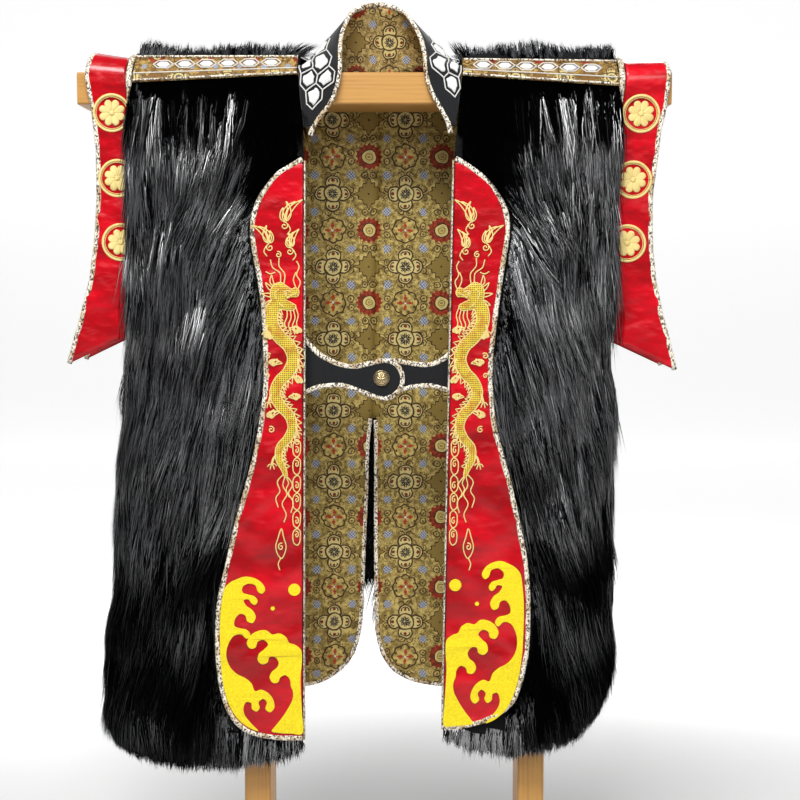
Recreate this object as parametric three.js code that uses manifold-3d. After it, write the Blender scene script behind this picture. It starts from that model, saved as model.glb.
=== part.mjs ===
// A jinbaori, the sleeveless surcoat worn over armour, hung on a plain wooden stand.
// Long-pile body panels, turned-back leather lapels with felt waves, a stand-up
// collar, short open sleeve wings, a buttoned chest tab and a brocade back lining.
// Millimetres, +Z up, the wearer's front faces -Y, x = 0 near the middle of the coat.
import * as THREE from 'three';
import { mergeVertices } from 'three/addons/utils/BufferGeometryUtils.js';
import Module from 'manifold-3d';

const wasm = await Module();
wasm.setup();

// ---------------------------------------------------------------- driving sizes
const BEAM_LENGTH = 746;
const BEAM_HEIGHT = 40;
const BEAM_DEPTH = 90;
const BEAM_TOP = 1100;
const BEAM_CENTRE = -2;
const LEG_WIDTH = 34;
const LEG_DEPTH = 88;
const LEG_LEFT = -155;
const LEG_RIGHT = 200;
const FOOT_LENGTH = 340;
const FOOT_WIDTH = 44;
const FOOT_HEIGHT = 40;
const TOUCH = 0.1; // joint line between two pieces of wood
const SEAM = 0.35; // clear gap between two pieces of cloth
const INSIDE = 46.3; // inner face of the coat beside the beam
const FLARE = 13.7; // how far the inner face swings out at the hem
const PILE = 23; // fur standing on the body
const BED = 9; // fur pressed flat under the lapel
const LEATHER = 2;
const PIPING = 6.6; // width of the bound edge
const PIPING_THICK = 4;
const FELT = 1.5;
const LINING = 1;

// ------------------------------------------------------------------ pattern data
// Every table below lists distances from the middle plane, always positive,
// for the left and the right side of the coat.
const SIDES = {
  left: {
    sign: -1,
    // height, front edge
    fold: [[1125, 98.3], [1085, 98], [1060, 96], [1035, 93], [1012, 91.3], [992, 90.9], [300, 94.5], [200, 94.5]],
    // outline of the lapel from its top corner to its hem corner: distance, height
    lapel: [[91.5, 993], [106, 986.5], [123.7, 975.7], [140, 957], [151.1, 938], [156.8, 918], [158.1, 898],
      [155.5, 876], [150.2, 847], [145.2, 811], [142.7, 761], [142.2, 710], [146.9, 670], [153.9, 630],
      [164.5, 588], [178.4, 539], [191.2, 485], [203.3, 430], [205.9, 391], [205, 356], [200.5, 320],
      [193.8, 296], [184.2, 278], [168.5, 264], [148.9, 257], [125.3, 253.5], [95, 253]],
    // height, side edge of the inner face
    edge: [[1125, 303.5], [1075, 303.5], [878, 303.5], [815, 303.5], [751, 304], [674, 310.6], [557, 317.5],
      [426, 327.5], [294, 336], [200, 332]],
    // distance, height of the hem
    hem: [[90, 243], [124, 229], [175, 219], [201, 214], [240, 218], [291, 223], [335, 236], [370, 250]],
    stripLow: { neck: [-51.5, 1096], end: [-60, 1085] },
    stripHigh: { neck: [-28, 1120], end: [-28, 1120] },
    // height, outer edge of the sleeve wing
    sleeveOut: [[1126, 359], [1095, 364], [1053, 357], [1003, 352.2], [941, 351.9], [891, 355.3], [840, 362.4],
      [790, 375.9], [735, 392]],
    sleeveIn: [[1130, 311.8], [851, 311.8], [840, 318.5], [825, 322.5], [800, 325], [766, 324]],
    sleeveHem: { inner: 766, tip: 735 },
    // y, height of the sleeve over the shoulder, at its body side and its outer side
    sleeveTop: { inner: [[-52, 1080], [-50, 1100], [-40, 1112], [-20, 1118], [0, 1120]],
      outer: [[-51, 1080], [-50, 1102], [-41, 1116], [-20, 1124], [0, 1127]] },
    // outline of the back beside the vent: x, height
    vent: [[-7.1, 655], [-10.9, 616], [-12.9, 552], [-16.4, 474], [-18.3, 422], [-20.4, 383], [-24.3, 357],
      [-33.6, 330.5], [-51.6, 309], [-68.5, 297], [-91, 289], [-130, 286.5], [-245, 286]],
    // how the felt waves sit: rise at the top, rise at the hem, narrowing
    waves: { outer: [0, 0, 1], inner: [0, 0, 1] },
    dots: [[10.5, 448, 7.8], [38, 424, 2.7]],
  },
  right: {
    sign: 1,
    fold: [[1125, 108.3], [1085, 108], [1060, 106], [1035, 102.5], [1012, 99.6], [992, 98.6], [300, 86],
      [200, 86]],
    lapel: [[99.2, 994], [119.3, 983.7], [138.2, 969], [151.9, 954], [162.7, 935], [167.6, 914], [167.1, 892],
      [162.9, 865], [157, 825], [151.4, 780], [147.2, 737], [147.4, 700], [152, 658], [159.8, 626],
      [171, 586], [182.5, 535], [191, 492], [195.8, 445], [196.2, 410], [194.5, 370], [190.6, 345],
      [184.6, 322], [176.9, 303], [162.2, 288], [138.8, 276], [112.2, 269], [85.5, 266]],
    edge: [[1125, 304], [1075, 302], [1042, 298], [1004, 293], [878, 291.5], [815, 291], [751, 287], [426, 287],
      [294, 282], [200, 278]],
    hem: [[80, 258], [120, 243], [158, 235], [197, 236], [235, 246], [270, 262], [290, 277], [310, 290]],
    stripLow: { neck: [-52, 1094.5], end: [-61, 1080.5] },
    stripHigh: { neck: [-28, 1116.5], end: [-28, 1114.5] },
    sleeveOut: [[1116, 366], [1098, 369], [1049, 363.4], [1030, 358.3], [995, 354.6], [948, 348.4], [907, 348.3],
      [879, 349.3], [838, 353.7], [796, 362.9], [754, 374.7], [727, 381]],
    sleeveIn: [[1130, 313.2], [1075, 311.2], [1042, 306.3], [1004, 301.3], [878, 299.8], [851, 299.6],
      [840, 305.5], [825, 309.5], [800, 312.5], [757, 311]],
    sleeveHem: { inner: 758, tip: 727 },
    sleeveTop: { inner: [[-52, 1078], [-50.5, 1097], [-40, 1108], [-20, 1113], [0, 1115]],
      outer: [[-51, 1078], [-50.5, 1097], [-40, 1109], [-20, 1114], [0, 1116]] },
    vent: [[-5.3, 653], [-4.8, 616], [-5.3, 500], [-4.2, 383], [-2.4, 357], [5.4, 330.5], [18.2, 311.5],
      [36.4, 299], [62.3, 291], [88.3, 288], [130, 286.5], [218, 286]],
    waves: { outer: [10, 19.5, 0.945], inner: [10, 15, 0.955] },
    dots: [[11.5, 454, 7.8], [39.5, 430, 2.7]],
  },
};

// The centre seam of the back, height and x.
const BACK_SEAM = [[1100, 3.5], [1080, 3], [655, -6]];


// The collar: its seam on the neck line and its bound free edge, left to right.
const COLLAR_BASE = [[-89, -59.5, 1015.5], [-91.5, -59, 1042], [-94.5, -57.5, 1066], [-96.3, -55, 1090],
  [-97.4, -48.5, 1106], [-97.8, -25, 1104.6], [-97.8, 5, 1104.2], [-95, 29, 1104.2], [-84, 47, 1104.8],
  [-66, 51.7, 1099.9], [-40, 52.5, 1094.1], [4, 53, 1087.8], [48, 52.5, 1094.1], [76, 51.7, 1099.9],
  [94, 47, 1104.8], [105, 29, 1104.2], [107.8, 5, 1104.2], [107.8, -25, 1104.6], [107.4, -48.5, 1106],
  [106.4, -55, 1090], [104.2, -57.5, 1066], [100.5, -59, 1042], [97.4, -59.5, 1017]];
const COLLAR_EDGE = [[-79, -61, 1022], [-69, -60, 1040], [-55, -57.5, 1058.5], [-46.5, -53.5, 1079],
  [-42, -50.5, 1103], [-42, -30, 1130], [-42, -10, 1152.5], [-37, 8, 1175], [-30, 21, 1189.5],
  [-21, 29, 1195.5], [-10, 33, 1199], [4, 36, 1200.6], [17, 34, 1198.5], [27, 30, 1194.5],
  [36, 22, 1188], [44, 8, 1174], [52, -9, 1154], [56.5, -29, 1130], [58.5, -50.5, 1106],
  [62, -51.5, 1086.5], [71, -56, 1065.5], [84, -60, 1042], [92, -61, 1026]];
const COLLAR_CLOTH = 2.4;
const COLLAR_BULGE = 7;

// Hexagon pads: place along the collar (0 to 22) and across it (0 to 1).
const COLLAR_PADS = [[2.25, 0.42], [3.15, 0.25], [4.15, 0.27], [5, 0.29], [5.75, 0.3], [3.6, 0.64],
  [4.45, 0.62], [5.2, 0.6], [5.95, 0.6], [19.2, 0.27], [18.25, 0.23], [17.35, 0.26], [16.6, 0.3], [15.9, 0.3],
  [17.9, 0.58], [17.1, 0.58], [16.35, 0.6], [15.6, 0.62]];
const PAD_RADIUS = 8.2;
const PAD_RISE = 1.6;
const STRIP_PADS = 6;
const STRIP_PITCH = 27;

// The chest tabs: top and bottom outlines, x then height.
const TAB_LEFT_TOP = [[-108, 772], [-92, 770], [-71, 750], [-46, 737.3], [-27, 734.6], [-8, 738.4], [11, 742],
  [22, 739.5], [30.5, 732.5], [35.6, 722]];
const TAB_LEFT_LOW = [[-108, 693], [-92, 695.2], [-71, 702.5], [-46, 704.6], [-27, 699.5], [-8, 692], [7, 687.6],
  [20, 690], [29.5, 697.5], [35.6, 709]];
const TAB_RIGHT_TOP = [[-8, 731], [-2, 737], [8, 740], [24, 741.6], [43, 738.2], [68, 736.9], [87, 746],
  [98, 762], [112, 765]];
const TAB_RIGHT_LOW = [[-8, 712], [-2, 704], [8, 700], [24, 698], [49, 702.7], [62, 704], [74, 702.7],
  [96, 696.3], [112, 694]];
const TAB_CLOTH = 2.6;
const BUTTON = { x: 6.5, z: 716.8, radius: 10.3, height: 6.5 };

// Felt waves on the lapel: distance from the front edge, height.
const WAVE_OUTER = [[96.8, 450], [91, 456.5], [84, 461.5], [73, 465], [60, 462.5], [51, 456], [47.5, 448],
  [51.5, 443], [57, 446], [60, 453.5], [69, 456], [76.5, 451], [76, 444.5], [69, 442], [61, 439.5], [57, 433],
  [60.5, 428.5], [65.5, 431], [68.5, 435.5], [75, 434.5], [72, 428], [63.5, 421.5], [59.5, 413], [63.5, 405.5],
  [70.5, 407.5], [73, 415], [79.5, 417], [86, 410], [86.5, 401.5], [79.5, 398.5], [71, 396.5], [66.5, 389.5],
  [71, 385], [78.5, 390.5], [87.5, 388.5], [94.5, 378], [97, 364], [93, 349.5], [83.5, 339.5], [73, 334],
  [65, 327], [60.5, 317.5], [53, 319.5], [43.5, 315], [37, 305.5], [36, 295.5], [41.5, 290], [47.5, 294.5],
  [45.5, 302.5], [50, 307.5], [56, 303], [54.5, 296], [58.5, 291], [64.5, 294.5], [65.5, 302], [71.5, 303.5],
  [75, 297], [74, 287], [65.5, 275.5], [56.5, 267.5], [69, 273], [82, 285], [90.8, 300.5], [97, 321],
  [101, 346], [102.5, 376], [102.5, 406], [100.6, 430]];
const WAVE_INNER = [[1.5, 362], [3, 371], [10, 377.5], [17, 380], [21, 387.5], [30, 392], [38.5, 390.5],
  [46.5, 396], [57, 395], [66.5, 389], [71, 379.5], [67, 372.5], [60, 373.5], [57, 381], [50, 383.5],
  [44, 378], [49, 371.5], [55.5, 366], [57, 357.5], [51.5, 352], [44.5, 354.5], [42, 361.5], [35.5, 361.5],
  [30.5, 354], [33, 347.5], [39, 342.5], [42, 335.5], [38, 328.5], [31, 329], [28, 335.5], [21.5, 338],
  [16, 332.5], [15, 324.5], [12, 316], [13, 306], [18.5, 295], [27, 282], [35.5, 271.5], [39.5, 265.5],
  [28, 263], [15, 262.4], [1.5, 262.2], [1.5, 290], [5, 315], [5.5, 335]];

// ------------------------------------------------------------------- materials
const cloth = (colour, roughness, metalness = 0) =>
  new THREE.MeshStandardMaterial({ color: colour, roughness, metalness });
const FUR = cloth(0x0d0d10, 0.55);
const RED_LEATHER = cloth(0xb3081f, 0.32);
const BLACK_WOOL = cloth(0x1d1f24, 0.9);
const BROCADE = cloth(0x9a7f45, 0.7);
const STRIP_GOLD = cloth(0xc49a4a, 0.65);
const BINDING = cloth(0xd9ccb0, 0.75);
const YELLOW_FELT = cloth(0xf4d20c, 0.8);
const PINE = cloth(0xe0b06a, 0.5);
const BRASS = cloth(0x7a6130, 0.4, 0.9);

// --------------------------------------------------------------- small helpers
// Value of a two-column table at a height that runs downwards.
function at(table, z) {
  if (z >= table[0][0]) return table[0][1];
  for (let i = 1; i < table.length; i += 1) {
    const [z1, v1] = table[i];
    if (z >= z1) {
      const [z0, v0] = table[i - 1];
      return v1 + (v0 - v1) * (z - z1) / (z0 - z1);
    }
  }
  return table[table.length - 1][1];
}

// The same for a table whose first column grows.
function along(table, x) {
  const rows = table.map(([a, b]) => [-a, b]);
  return at(rows, -x);
}

const mix = (a, b, t) => a + (b - a) * t;
const smooth = (t) => {
  const k = Math.min(1, Math.max(0, t));
  return k * k * (3 - 2 * k);
};
const mixPoint = (a, b, t) => a.map((v, i) => mix(v, b[i], t));

// Moves a polyline sideways by d, to the left of its direction.
function offset(line, d) {
  return line.map((p, i) => {
    const a = line[Math.max(0, i - 1)];
    const b = line[Math.min(line.length - 1, i + 1)];
    const length = Math.hypot(b[0] - a[0], b[1] - a[1]);
    return [p[0] - d * (b[1] - a[1]) / length, p[1] + d * (b[0] - a[0]) / length];
  });
}

// A geometry from points and triangles, its faces turned outwards.
function closed(points, triangles) {
  let volume = 0;
  for (const [i, j, k] of triangles) {
    const [a, b, c] = [points[i], points[j], points[k]];
    volume += a[0] * (b[1] * c[2] - b[2] * c[1]);
    volume -= a[1] * (b[0] * c[2] - b[2] * c[0]);
    volume += a[2] * (b[0] * c[1] - b[1] * c[0]);
  }
  const index = triangles.flatMap(([i, j, k]) => (volume < 0 ? [i, k, j] : [i, j, k]));
  const geometry = new THREE.BufferGeometry();
  geometry.setAttribute('position', new THREE.BufferAttribute(new Float32Array(points.flat()), 3));
  geometry.setIndex(index);
  geometry.computeVertexNormals();
  return geometry;
}

// A wall between two grids of points with the same rows and columns.
function wall(outer, inner) {
  const rows = outer.length;
  const cols = outer[0].length;
  const points = [...outer.flat(), ...inner.flat()];
  const half = rows * cols;
  const id = (r, c) => r * cols + c;
  const triangles = [];
  const quad = (a, b, c, d) => triangles.push([a, b, c], [a, c, d]);
  for (let r = 0; r < rows - 1; r += 1) {
    for (let c = 0; c < cols - 1; c += 1) {
      quad(id(r, c), id(r, c + 1), id(r + 1, c + 1), id(r + 1, c));
      quad(half + id(r, c), half + id(r + 1, c), half + id(r + 1, c + 1), half + id(r, c + 1));
    }
  }
  const rim = [];
  for (let c = 0; c < cols - 1; c += 1) rim.push(id(0, c));
  for (let r = 0; r < rows - 1; r += 1) rim.push(id(r, cols - 1));
  for (let c = cols - 1; c > 0; c -= 1) rim.push(id(rows - 1, c));
  for (let r = rows - 1; r > 0; r -= 1) rim.push(id(r, 0));
  rim.forEach((a, i) => {
    const b = rim[(i + 1) % rim.length];
    quad(a, half + a, half + b, b);
  });
  return closed(points, triangles);
}

// A bead of elliptic section along a path, with its flat side facing the normals.
function bead(path, normals, width, thick, sides = 6) {
  const rings = path.map((p, i) => {
    const a = new THREE.Vector3(...path[Math.max(0, i - 1)]);
    const b = new THREE.Vector3(...path[Math.min(path.length - 1, i + 1)]);
    const tangent = b.sub(a).normalize();
    const normal = new THREE.Vector3(...normals[i]);
    const side = new THREE.Vector3().crossVectors(tangent, normal).normalize();
    const up = new THREE.Vector3().crossVectors(side, tangent).normalize();
    return Array.from({ length: sides }, (_, k) => {
      const turn = Math.PI * (2 * k + 1) / sides;
      const s = Math.cos(turn) / Math.cos(Math.PI / sides);
      const q = new THREE.Vector3(...p);
      q.addScaledVector(side, Math.max(-1, Math.min(1, s)) * width / 2);
      q.addScaledVector(up, Math.sin(turn) * thick / 2);
      return q.toArray();
    });
  });
  const points = rings.flat();
  const triangles = [];
  for (let i = 0; i < path.length - 1; i += 1) {
    for (let k = 0; k < sides; k += 1) {
      const a = i * sides + k;
      const b = i * sides + (k + 1) % sides;
      triangles.push([a, b, b + sides], [a, b + sides, a + sides]);
    }
  }
  const last = (path.length - 1) * sides;
  for (let k = 1; k < sides - 1; k += 1) {
    triangles.push([0, k + 1, k], [last, last + k, last + k + 1]);
  }
  return closed(points, triangles);
}

// A flat outline in x and z given a thickness along y.
function plate(outline, front, thick) {
  const contour = outline.map(([x, z]) => new THREE.Vector2(x, z));
  const faces = THREE.ShapeUtils.triangulateShape(contour, []);
  const n = outline.length;
  const points = outline.map(([x, z]) => [x, front(x, z), z]);
  outline.forEach(([x, z]) => points.push([x, front(x, z) + thick, z]));
  const triangles = [];
  faces.forEach(([a, b, c]) => triangles.push([a, b, c], [n + a, n + c, n + b]));
  const edges = new Set(faces.flatMap(([a, b, c]) => [`${a},${b}`, `${b},${c}`, `${c},${a}`]));
  for (let i = 0; i < n; i += 1) {
    const j = (i + 1) % n;
    const [p, q] = edges.has(`${i},${j}`) ? [j, i] : [i, j];
    triangles.push([p, q, n + q], [p, n + q, n + p]);
  }
  return closed(points, triangles);
}

// Rounds an outline through its knots.
function curve(knots, perKnot) {
  const points = knots.map(([x, z]) => new THREE.Vector3(x, z, 0));
  const line = new THREE.CatmullRomCurve3(points, true, 'centripetal');
  return line.getPoints(knots.length * perKnot).slice(0, -1).map((p) => [p.x, p.y]);
}

// A solid of manifold-3d from a geometry, and back.
function solid(geometry) {
  const bare = geometry.clone();
  bare.deleteAttribute('normal');
  bare.deleteAttribute('uv');
  const merged = mergeVertices(bare, 1e-4);
  return new wasm.Manifold(new wasm.Mesh({
    numProp: 3,
    vertProperties: merged.attributes.position.array,
    triVerts: new Uint32Array(merged.index.array),
  }));
}

function joined(base, added) {
  let whole = solid(base);
  added.forEach((geometry) => {
    whole = whole.add(solid(geometry));
  });
  const mesh = whole.getMesh();
  const geometry = new THREE.BufferGeometry();
  geometry.setAttribute('position', new THREE.BufferAttribute(mesh.vertProperties, 3));
  geometry.setIndex(new THREE.BufferAttribute(mesh.triVerts, 1));
  geometry.computeVertexNormals();
  return geometry;
}

// ------------------------------------------------------------------ body surface
// y of the inner face of the front at a height; the back mirrors it.
const insideY = (z) => -INSIDE - FLARE * Math.max(0, 1000 - z) / 770;

// How far a section is wrapped round to the side seam: 0 at the armhole, 1 below.
const wrap = (z) => smooth((850 - z) / 105) * (1 - 0.16 * smooth((400 - z) / 120));

// The lock-like swell of the fur.
const swell = (x, z) => 2.2 * Math.sin(x * 0.061 + z * 0.021) + 1.6 * Math.sin(z * 0.047 - x * 0.083);

// One horizontal section: flat columns, then four round the side.
function section(side, z, flat, bed) {
  const y0 = insideY(z) - bed;
  const w = wrap(z);
  const edge = at(side.edge, z);
  const start = edge - 58;
  const inner = flat.map(([x]) => [x, y0]);
  const outer = flat.map(([x, thick]) => [x, y0 - thick]);
  const bend = (t) => {
    const turn = t * Math.PI / 2;
    const x = start + (edge - start) * mix(t, Math.sin(turn), w);
    const y = mix(y0, -0.15 + (y0 + 0.15) * Math.cos(turn), w);
    return [x, y];
  };
  const hang = (1 - w) * smooth((1092 - z) / 25);
  const over = [[edge + 9, y0 - 16], [edge + 0.6, y0 - 9.5]];
  const fur = PILE * mix(0.75, 1, smooth((z - 215) / 40));
  [0, 0.34, 0.68, 0.93, 1].forEach((t, i) => {
    const p = bend(t);
    const a = bend(Math.max(0, t - 0.02));
    const b = bend(Math.min(1, t + 0.02));
    const length = Math.hypot(b[0] - a[0], b[1] - a[1]);
    const n = [(b[1] - a[1]) / length, -(b[0] - a[0]) / length];
    if (t === 1 && w > 0.5) n[1] = 0;
    const thick = (fur + (i < 3 ? swell(p[0], z) : 0)) * (i === 4 ? mix(0.75, 0.94, w) : 1);
    let q = [p[0] + n[0] * thick, p[1] + n[1] * thick];
    if (t === 1) q[1] = Math.min(q[1], p[1]);
    if (i > 2) q = mixPoint(q, over[i - 3], hang);
    inner.push(p);
    outer.push(q);
  });
  return { inner, outer };
}

// Height of a point after the hem is cut to its curve.
function hemmed(side, x, z) {
  const cut = along(side.hem, x);
  return z >= 300 ? z : mix(300, cut, (300 - z) / 80);
}

// A point of the front moved to its height above the hem, still on the sloping face.
function hung(side, [x, y], z) {
  const height = hemmed(side, x, z);
  const share = Math.min(1, y / insideY(z));
  return [x, y + (insideY(height) - insideY(z)) * share, height];
}

const FRONT_ROWS = [1062, 1036, 1012, 994, 984, 972, 957, 938, 918, 896, 868, 842, 811, 778, 745, 705, 668, 630,
  588, 539, 485, 430, 391, 356, 320, 296, 278, 264, 253, 237, 220];

// Flat columns of the front: pressed under the lapel, full pile outside it.
function frontFlat(side, z) {
  const fold = at(side.fold, z);
  const outline = side.lapel.slice(1, -3).map(([x, h]) => [h, x]);
  const top = side.lapel[0][1];
  const lap = z > top ? fold + 10 : Math.max(fold + 10, at([[top, fold], ...outline], z));
  const start = at(side.edge, z) - 58;
  const past = z > top + 15 ? 12 : BED;
  const soft = (x) => PILE * mix(0.75, 1, smooth((z - 215) / 40)) + swell(x, z);
  const columns = [[fold, past], [(fold + lap + 3) / 2, past], [lap + 3, past], [lap + 14, soft(lap + 14) * 0.9]];
  [0.3, 0.6].forEach((t) => {
    const x = mix(lap + 14, start, t);
    columns.push([x, soft(x)]);
  });
  return columns;
}

// Points of the shoulder end of the front, over the beam.
function shoulderRows(side, columns) {
  const [neck, end] = [columns[0], columns[columns.length - 1]];
  const reach = (x) => (x - neck) / (end - neck);
  const low = columns.map((x) => [x, ...mixPoint(side.stripLow.neck, side.stripLow.end, reach(x))]);
  const high = columns.map((x) => [x, ...mixPoint(side.stripHigh.neck, side.stripHigh.end, reach(x))]);
  const mid = low.map((p, i) => [p[0], (p[1] + high[i][1]) / 2 - 0.8, (p[2] + high[i][2]) / 2 + 0.8]);
  return [
    { outer: high, inner: columns.map((x) => [x, -28, BEAM_TOP + 0.3]) },
    { outer: mid, inner: columns.map((x) => [x, -INSIDE, BEAM_TOP + 0.3]) },
    { outer: low, inner: columns.map((x) => [x, -INSIDE, 1084]) },
  ];
}

const mirrored = (side, rows) => rows.map((row) => row.map(([x, y, z]) => [side.sign * x, y, z]));

function frontPanel(side) {
  const top = section(side, 1062, frontFlat(side, 1062), 0);
  const columns = top.inner.map(([x], i) => (i === 0 ? at(side.fold, 1085) : x));
  columns[columns.length - 1] = at(side.edge, 1100);
  columns[columns.length - 2] = mix(columns[columns.length - 3], columns[columns.length - 1], 0.8);
  const shoulder = shoulderRows(side, columns);
  const outer = shoulder.map((row) => row.outer);
  const inner = shoulder.map((row) => row.inner);
  FRONT_ROWS.forEach((z) => {
    const { inner: a, outer: b } = section(side, z, frontFlat(side, z), 0);
    inner.push(a.map((p) => hung(side, p, z)));
    outer.push(b.map((p) => hung(side, p, z)));
  });
  return wall(mirrored(side, outer), mirrored(side, inner));
}

// --------------------------------------------------------------------- the back
const ventLine = (side) => side.vent.map(([x, z]) => [x * side.sign, z]);

// Start of the back, measured as a signed distance towards the side.
function backStart(side, z, inset) {
  if (z > 656) return side.sign * at(BACK_SEAM, z) + 0.15;
  const line = offset(ventLine(side), inset).map(([x, h]) => [h, x]);
  return at(line.filter(([h], i) => i === 0 || h < line[i - 1][0]), z);
}

// Height of a point of the back once the hem is bound.
function bound(side, x, z) {
  const hem = offset(ventLine(side), PIPING + SEAM).filter(([, h]) => h < 303).map(([a, h]) => [a, h]);
  return z > 303 ? z : Math.max(z, along(hem, x));
}

const BACK_ROWS = [1062, 1042, 1004, 940, 878, 850, 815, 780, 745, 705, 656.3, 655.6, 616, 552, 484, 425, 390, 357,
  334, 315, 303, 293.5];

function backFlat(side, z, inset) {
  const first = backStart(side, z, inset);
  const start = at(side.edge, z) - 58;
  return [0, 0.3, 0.65].map((t) => {
    const x = mix(first, start, t);
    const thin = 1 - 0.45 * smooth((330 - z) / 40);
    return [x, (PILE + swell(x, z)) * (t === 0 ? 0.72 : 1) * thin];
  });
}

// Rows of the back that lie over the beam: y and z of the inner and outer face.
const BACK_TOP = [
  { inner: [-27.5, 1100.3], outer: [-27.5, 1123], neck: 98.3, edge: 0.9 },
  { inner: [-12, 1100.3], outer: [-13, 1137], neck: 98.3, edge: 0.85 },
  { inner: [12, 1100.3], outer: [12, 1141], neck: 98.3, edge: 0.8 },
  { inner: [34, 1100.3], outer: [40, 1133], neck: 97, edge: 0.7 },
  { inner: [47.6, 1100.3], outer: [62, 1112], neck: 84, edge: 0.42 },
  { inner: [47.6, 1094], outer: [68, 1098], neck: 50, edge: 0.42 },
  { inner: [47.6, 1084], outer: [70, 1086], neck: 0, edge: 0.42 },
];

function backPanel(side) {
  const outer = [];
  const inner = [];
  const edge = at(side.edge, 1100);
  const shift = side.sign > 0 ? 10 : 0;
  BACK_TOP.forEach((row) => {
    const z = row.inner[1];
    const first = row.neck > 0 ? row.neck + shift : backStart(side, 1084, 0);
    const stops = [0, 0.3, 0.65].map((t) => mix(first, edge - 58, t));
    [0, 0.34, 0.68, 0.93, 1].forEach((t) => stops.push(edge - 58 + 58 * t));
    inner.push(stops.map((x) => [x, row.inner[0], z]));
    outer.push(stops.map((x, i) => {
      const soft = i === 0 ? row.edge : 1;
      const end = i === 7 ? 0.8 : 1;
      const lift = row.outer[1] - z;
      const y = row.inner[0] + (row.outer[0] - row.inner[0]) * (i === 0 ? 0.75 : 1);
      return [x, y, z + lift * soft * end];
    }));
  });
  BACK_ROWS.forEach((z) => {
    const { inner: a, outer: b } = section(side, z, backFlat(side, z, 7), 1.3);
    const turned = ([x, y], i, list) => [x, i === list.length - 1 ? Math.max(0.15, -y) : -y, bound(side, x, z)];
    inner.push(a.map(turned));
    outer.push(b.map(turned));
  });
  return wall(mirrored(side, outer), mirrored(side, inner));
}

// The lining shows inside the flat of the back, between the side bends.
function backLining(side) {
  const rows = [1083, ...BACK_ROWS];
  const grid = rows.map((z) => {
    const first = backStart(side, z, 7);
    const end = at(side.edge, z) - 60;
    return [0, 0.33, 0.67, 1].map((t) => [mix(first, end, t), -insideY(z), bound(side, mix(first, end, t), z)]);
  });
  const outer = grid.map((row) => row.map(([x, y, z]) => [x, y + LINING, z]));
  return wall(mirrored(side, outer), mirrored(side, grid));
}

function ventPiping(side) {
  const line = offset(ventLine(side), PIPING / 2);
  const path = line.map(([x, z]) => [side.sign * x, -insideY(z) + 2.2, z]);
  return bead(path, path.map(() => [0, 1, 0]), PIPING, PIPING_THICK + 1);
}

// ------------------------------------------------------------------- the lapels
const onBed = (z, lift) => insideY(z) - BED - SEAM - lift;

function lapel(side) {
  const inset = offset(side.lapel.map(([x, z]) => [x, z]), -PIPING - SEAM);
  const edge = inset.slice(1).map(([x, z]) => [z, x]);
  const top = edge[0][0];
  const rows = [...edge.slice(0, -1).map(([z]) => z), edge[edge.length - 1][0] + 0.3];
  const grid = rows.map((z) => {
    const first = at(side.fold, z) + SEAM;
    const last = Math.max(first + 3, at(edge, Math.min(z, top)));
    return [0, 0.35, 0.7, 1].map((t) => [mix(first, last, t), onBed(z, 0), z]);
  });
  const outer = grid.map((row) => row.map(([x, y, z]) => [x, y - LEATHER, z]));
  return wall(mirrored(side, outer), mirrored(side, grid));
}

function lapelPiping(side) {
  const line = offset(side.lapel, -PIPING / 2);
  line[0] = [at(side.fold, line[0][1]) + 1, side.lapel[0][1] - 2];
  line[line.length - 1][0] = at(side.fold, 254) + 0.4;
  const path = line.map(([x, z]) => [side.sign * x, onBed(z, PIPING_THICK / 2), z]);
  return bead(path, path.map(() => [0, -1, 0]), PIPING, PIPING_THICK);
}

function edgePiping(side) {
  const bottom = side.lapel[side.lapel.length - 1][1];
  const heights = [side.lapel[0][1] - 4, 900, 780, 660, 540, 420, 330, bottom + 1];
  const path = heights.map((z) => [side.sign * (at(side.fold, z) - 1.75), insideY(z) - 6.3, z]);
  return bead(path, path.map(() => [0, -1, 0]), 2.6, 12, 8);
}

// Felt pieces that lie on the leather.
function feltFront(lift) {
  return (x, z) => onBed(z, LEATHER + SEAM + lift);
}

function wave(side, knots, [high, low, narrow]) {
  const outline = curve(knots, 1).map(([a, z]) => {
    const height = z + mix(low, high, (z - 264) / 196);
    return [side.sign * (at(side.fold, height) + a * narrow), height];
  });
  return plate(outline, feltFront(FELT), FELT);
}

function dot(side, [a, z, radius]) {
  const x = side.sign * (at(side.fold, z) + a);
  const profile = [[0, 0], [radius, 0], [radius, 0.9], [radius * 0.7, 1.5], [0, 1.7]];
  const points = profile.map(([r, h]) => new THREE.Vector2(r, h));
  const geometry = new THREE.LatheGeometry(points, radius > 5 ? 16 : 8);
  const slope = Math.atan(FLARE / 770);
  geometry.rotateX(Math.PI - slope);
  geometry.translate(x, onBed(z, LEATHER + SEAM + 0.1), z);
  return geometry;
}

// ------------------------------------------------------------------- the collar
const TOWARDS_BEAM = new THREE.Vector3(5, -4, 1120);

function collarPoint(u, v) {
  const i = Math.min(COLLAR_BASE.length - 2, Math.floor(u));
  const base = mixPoint(COLLAR_BASE[i], COLLAR_BASE[i + 1], u - i);
  const edge = mixPoint(COLLAR_EDGE[i], COLLAR_EDGE[i + 1], u - i);
  const p = mixPoint(base, edge, v);
  const out = new THREE.Vector3(p[0] - 5, p[1] + 4, 0).normalize();
  const height = Math.hypot(base[0] - edge[0], base[1] - edge[1], base[2] - edge[2]);
  const bulge = COLLAR_BULGE * Math.min(1, height / 60) * Math.sin(Math.PI * v);
  const front = smooth((-p[1] - 30) / 25);
  return [p[0] + out.x * bulge * (1 - front), p[1] + mix(out.y, -0.4, front) * bulge, p[2]];
}

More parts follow.
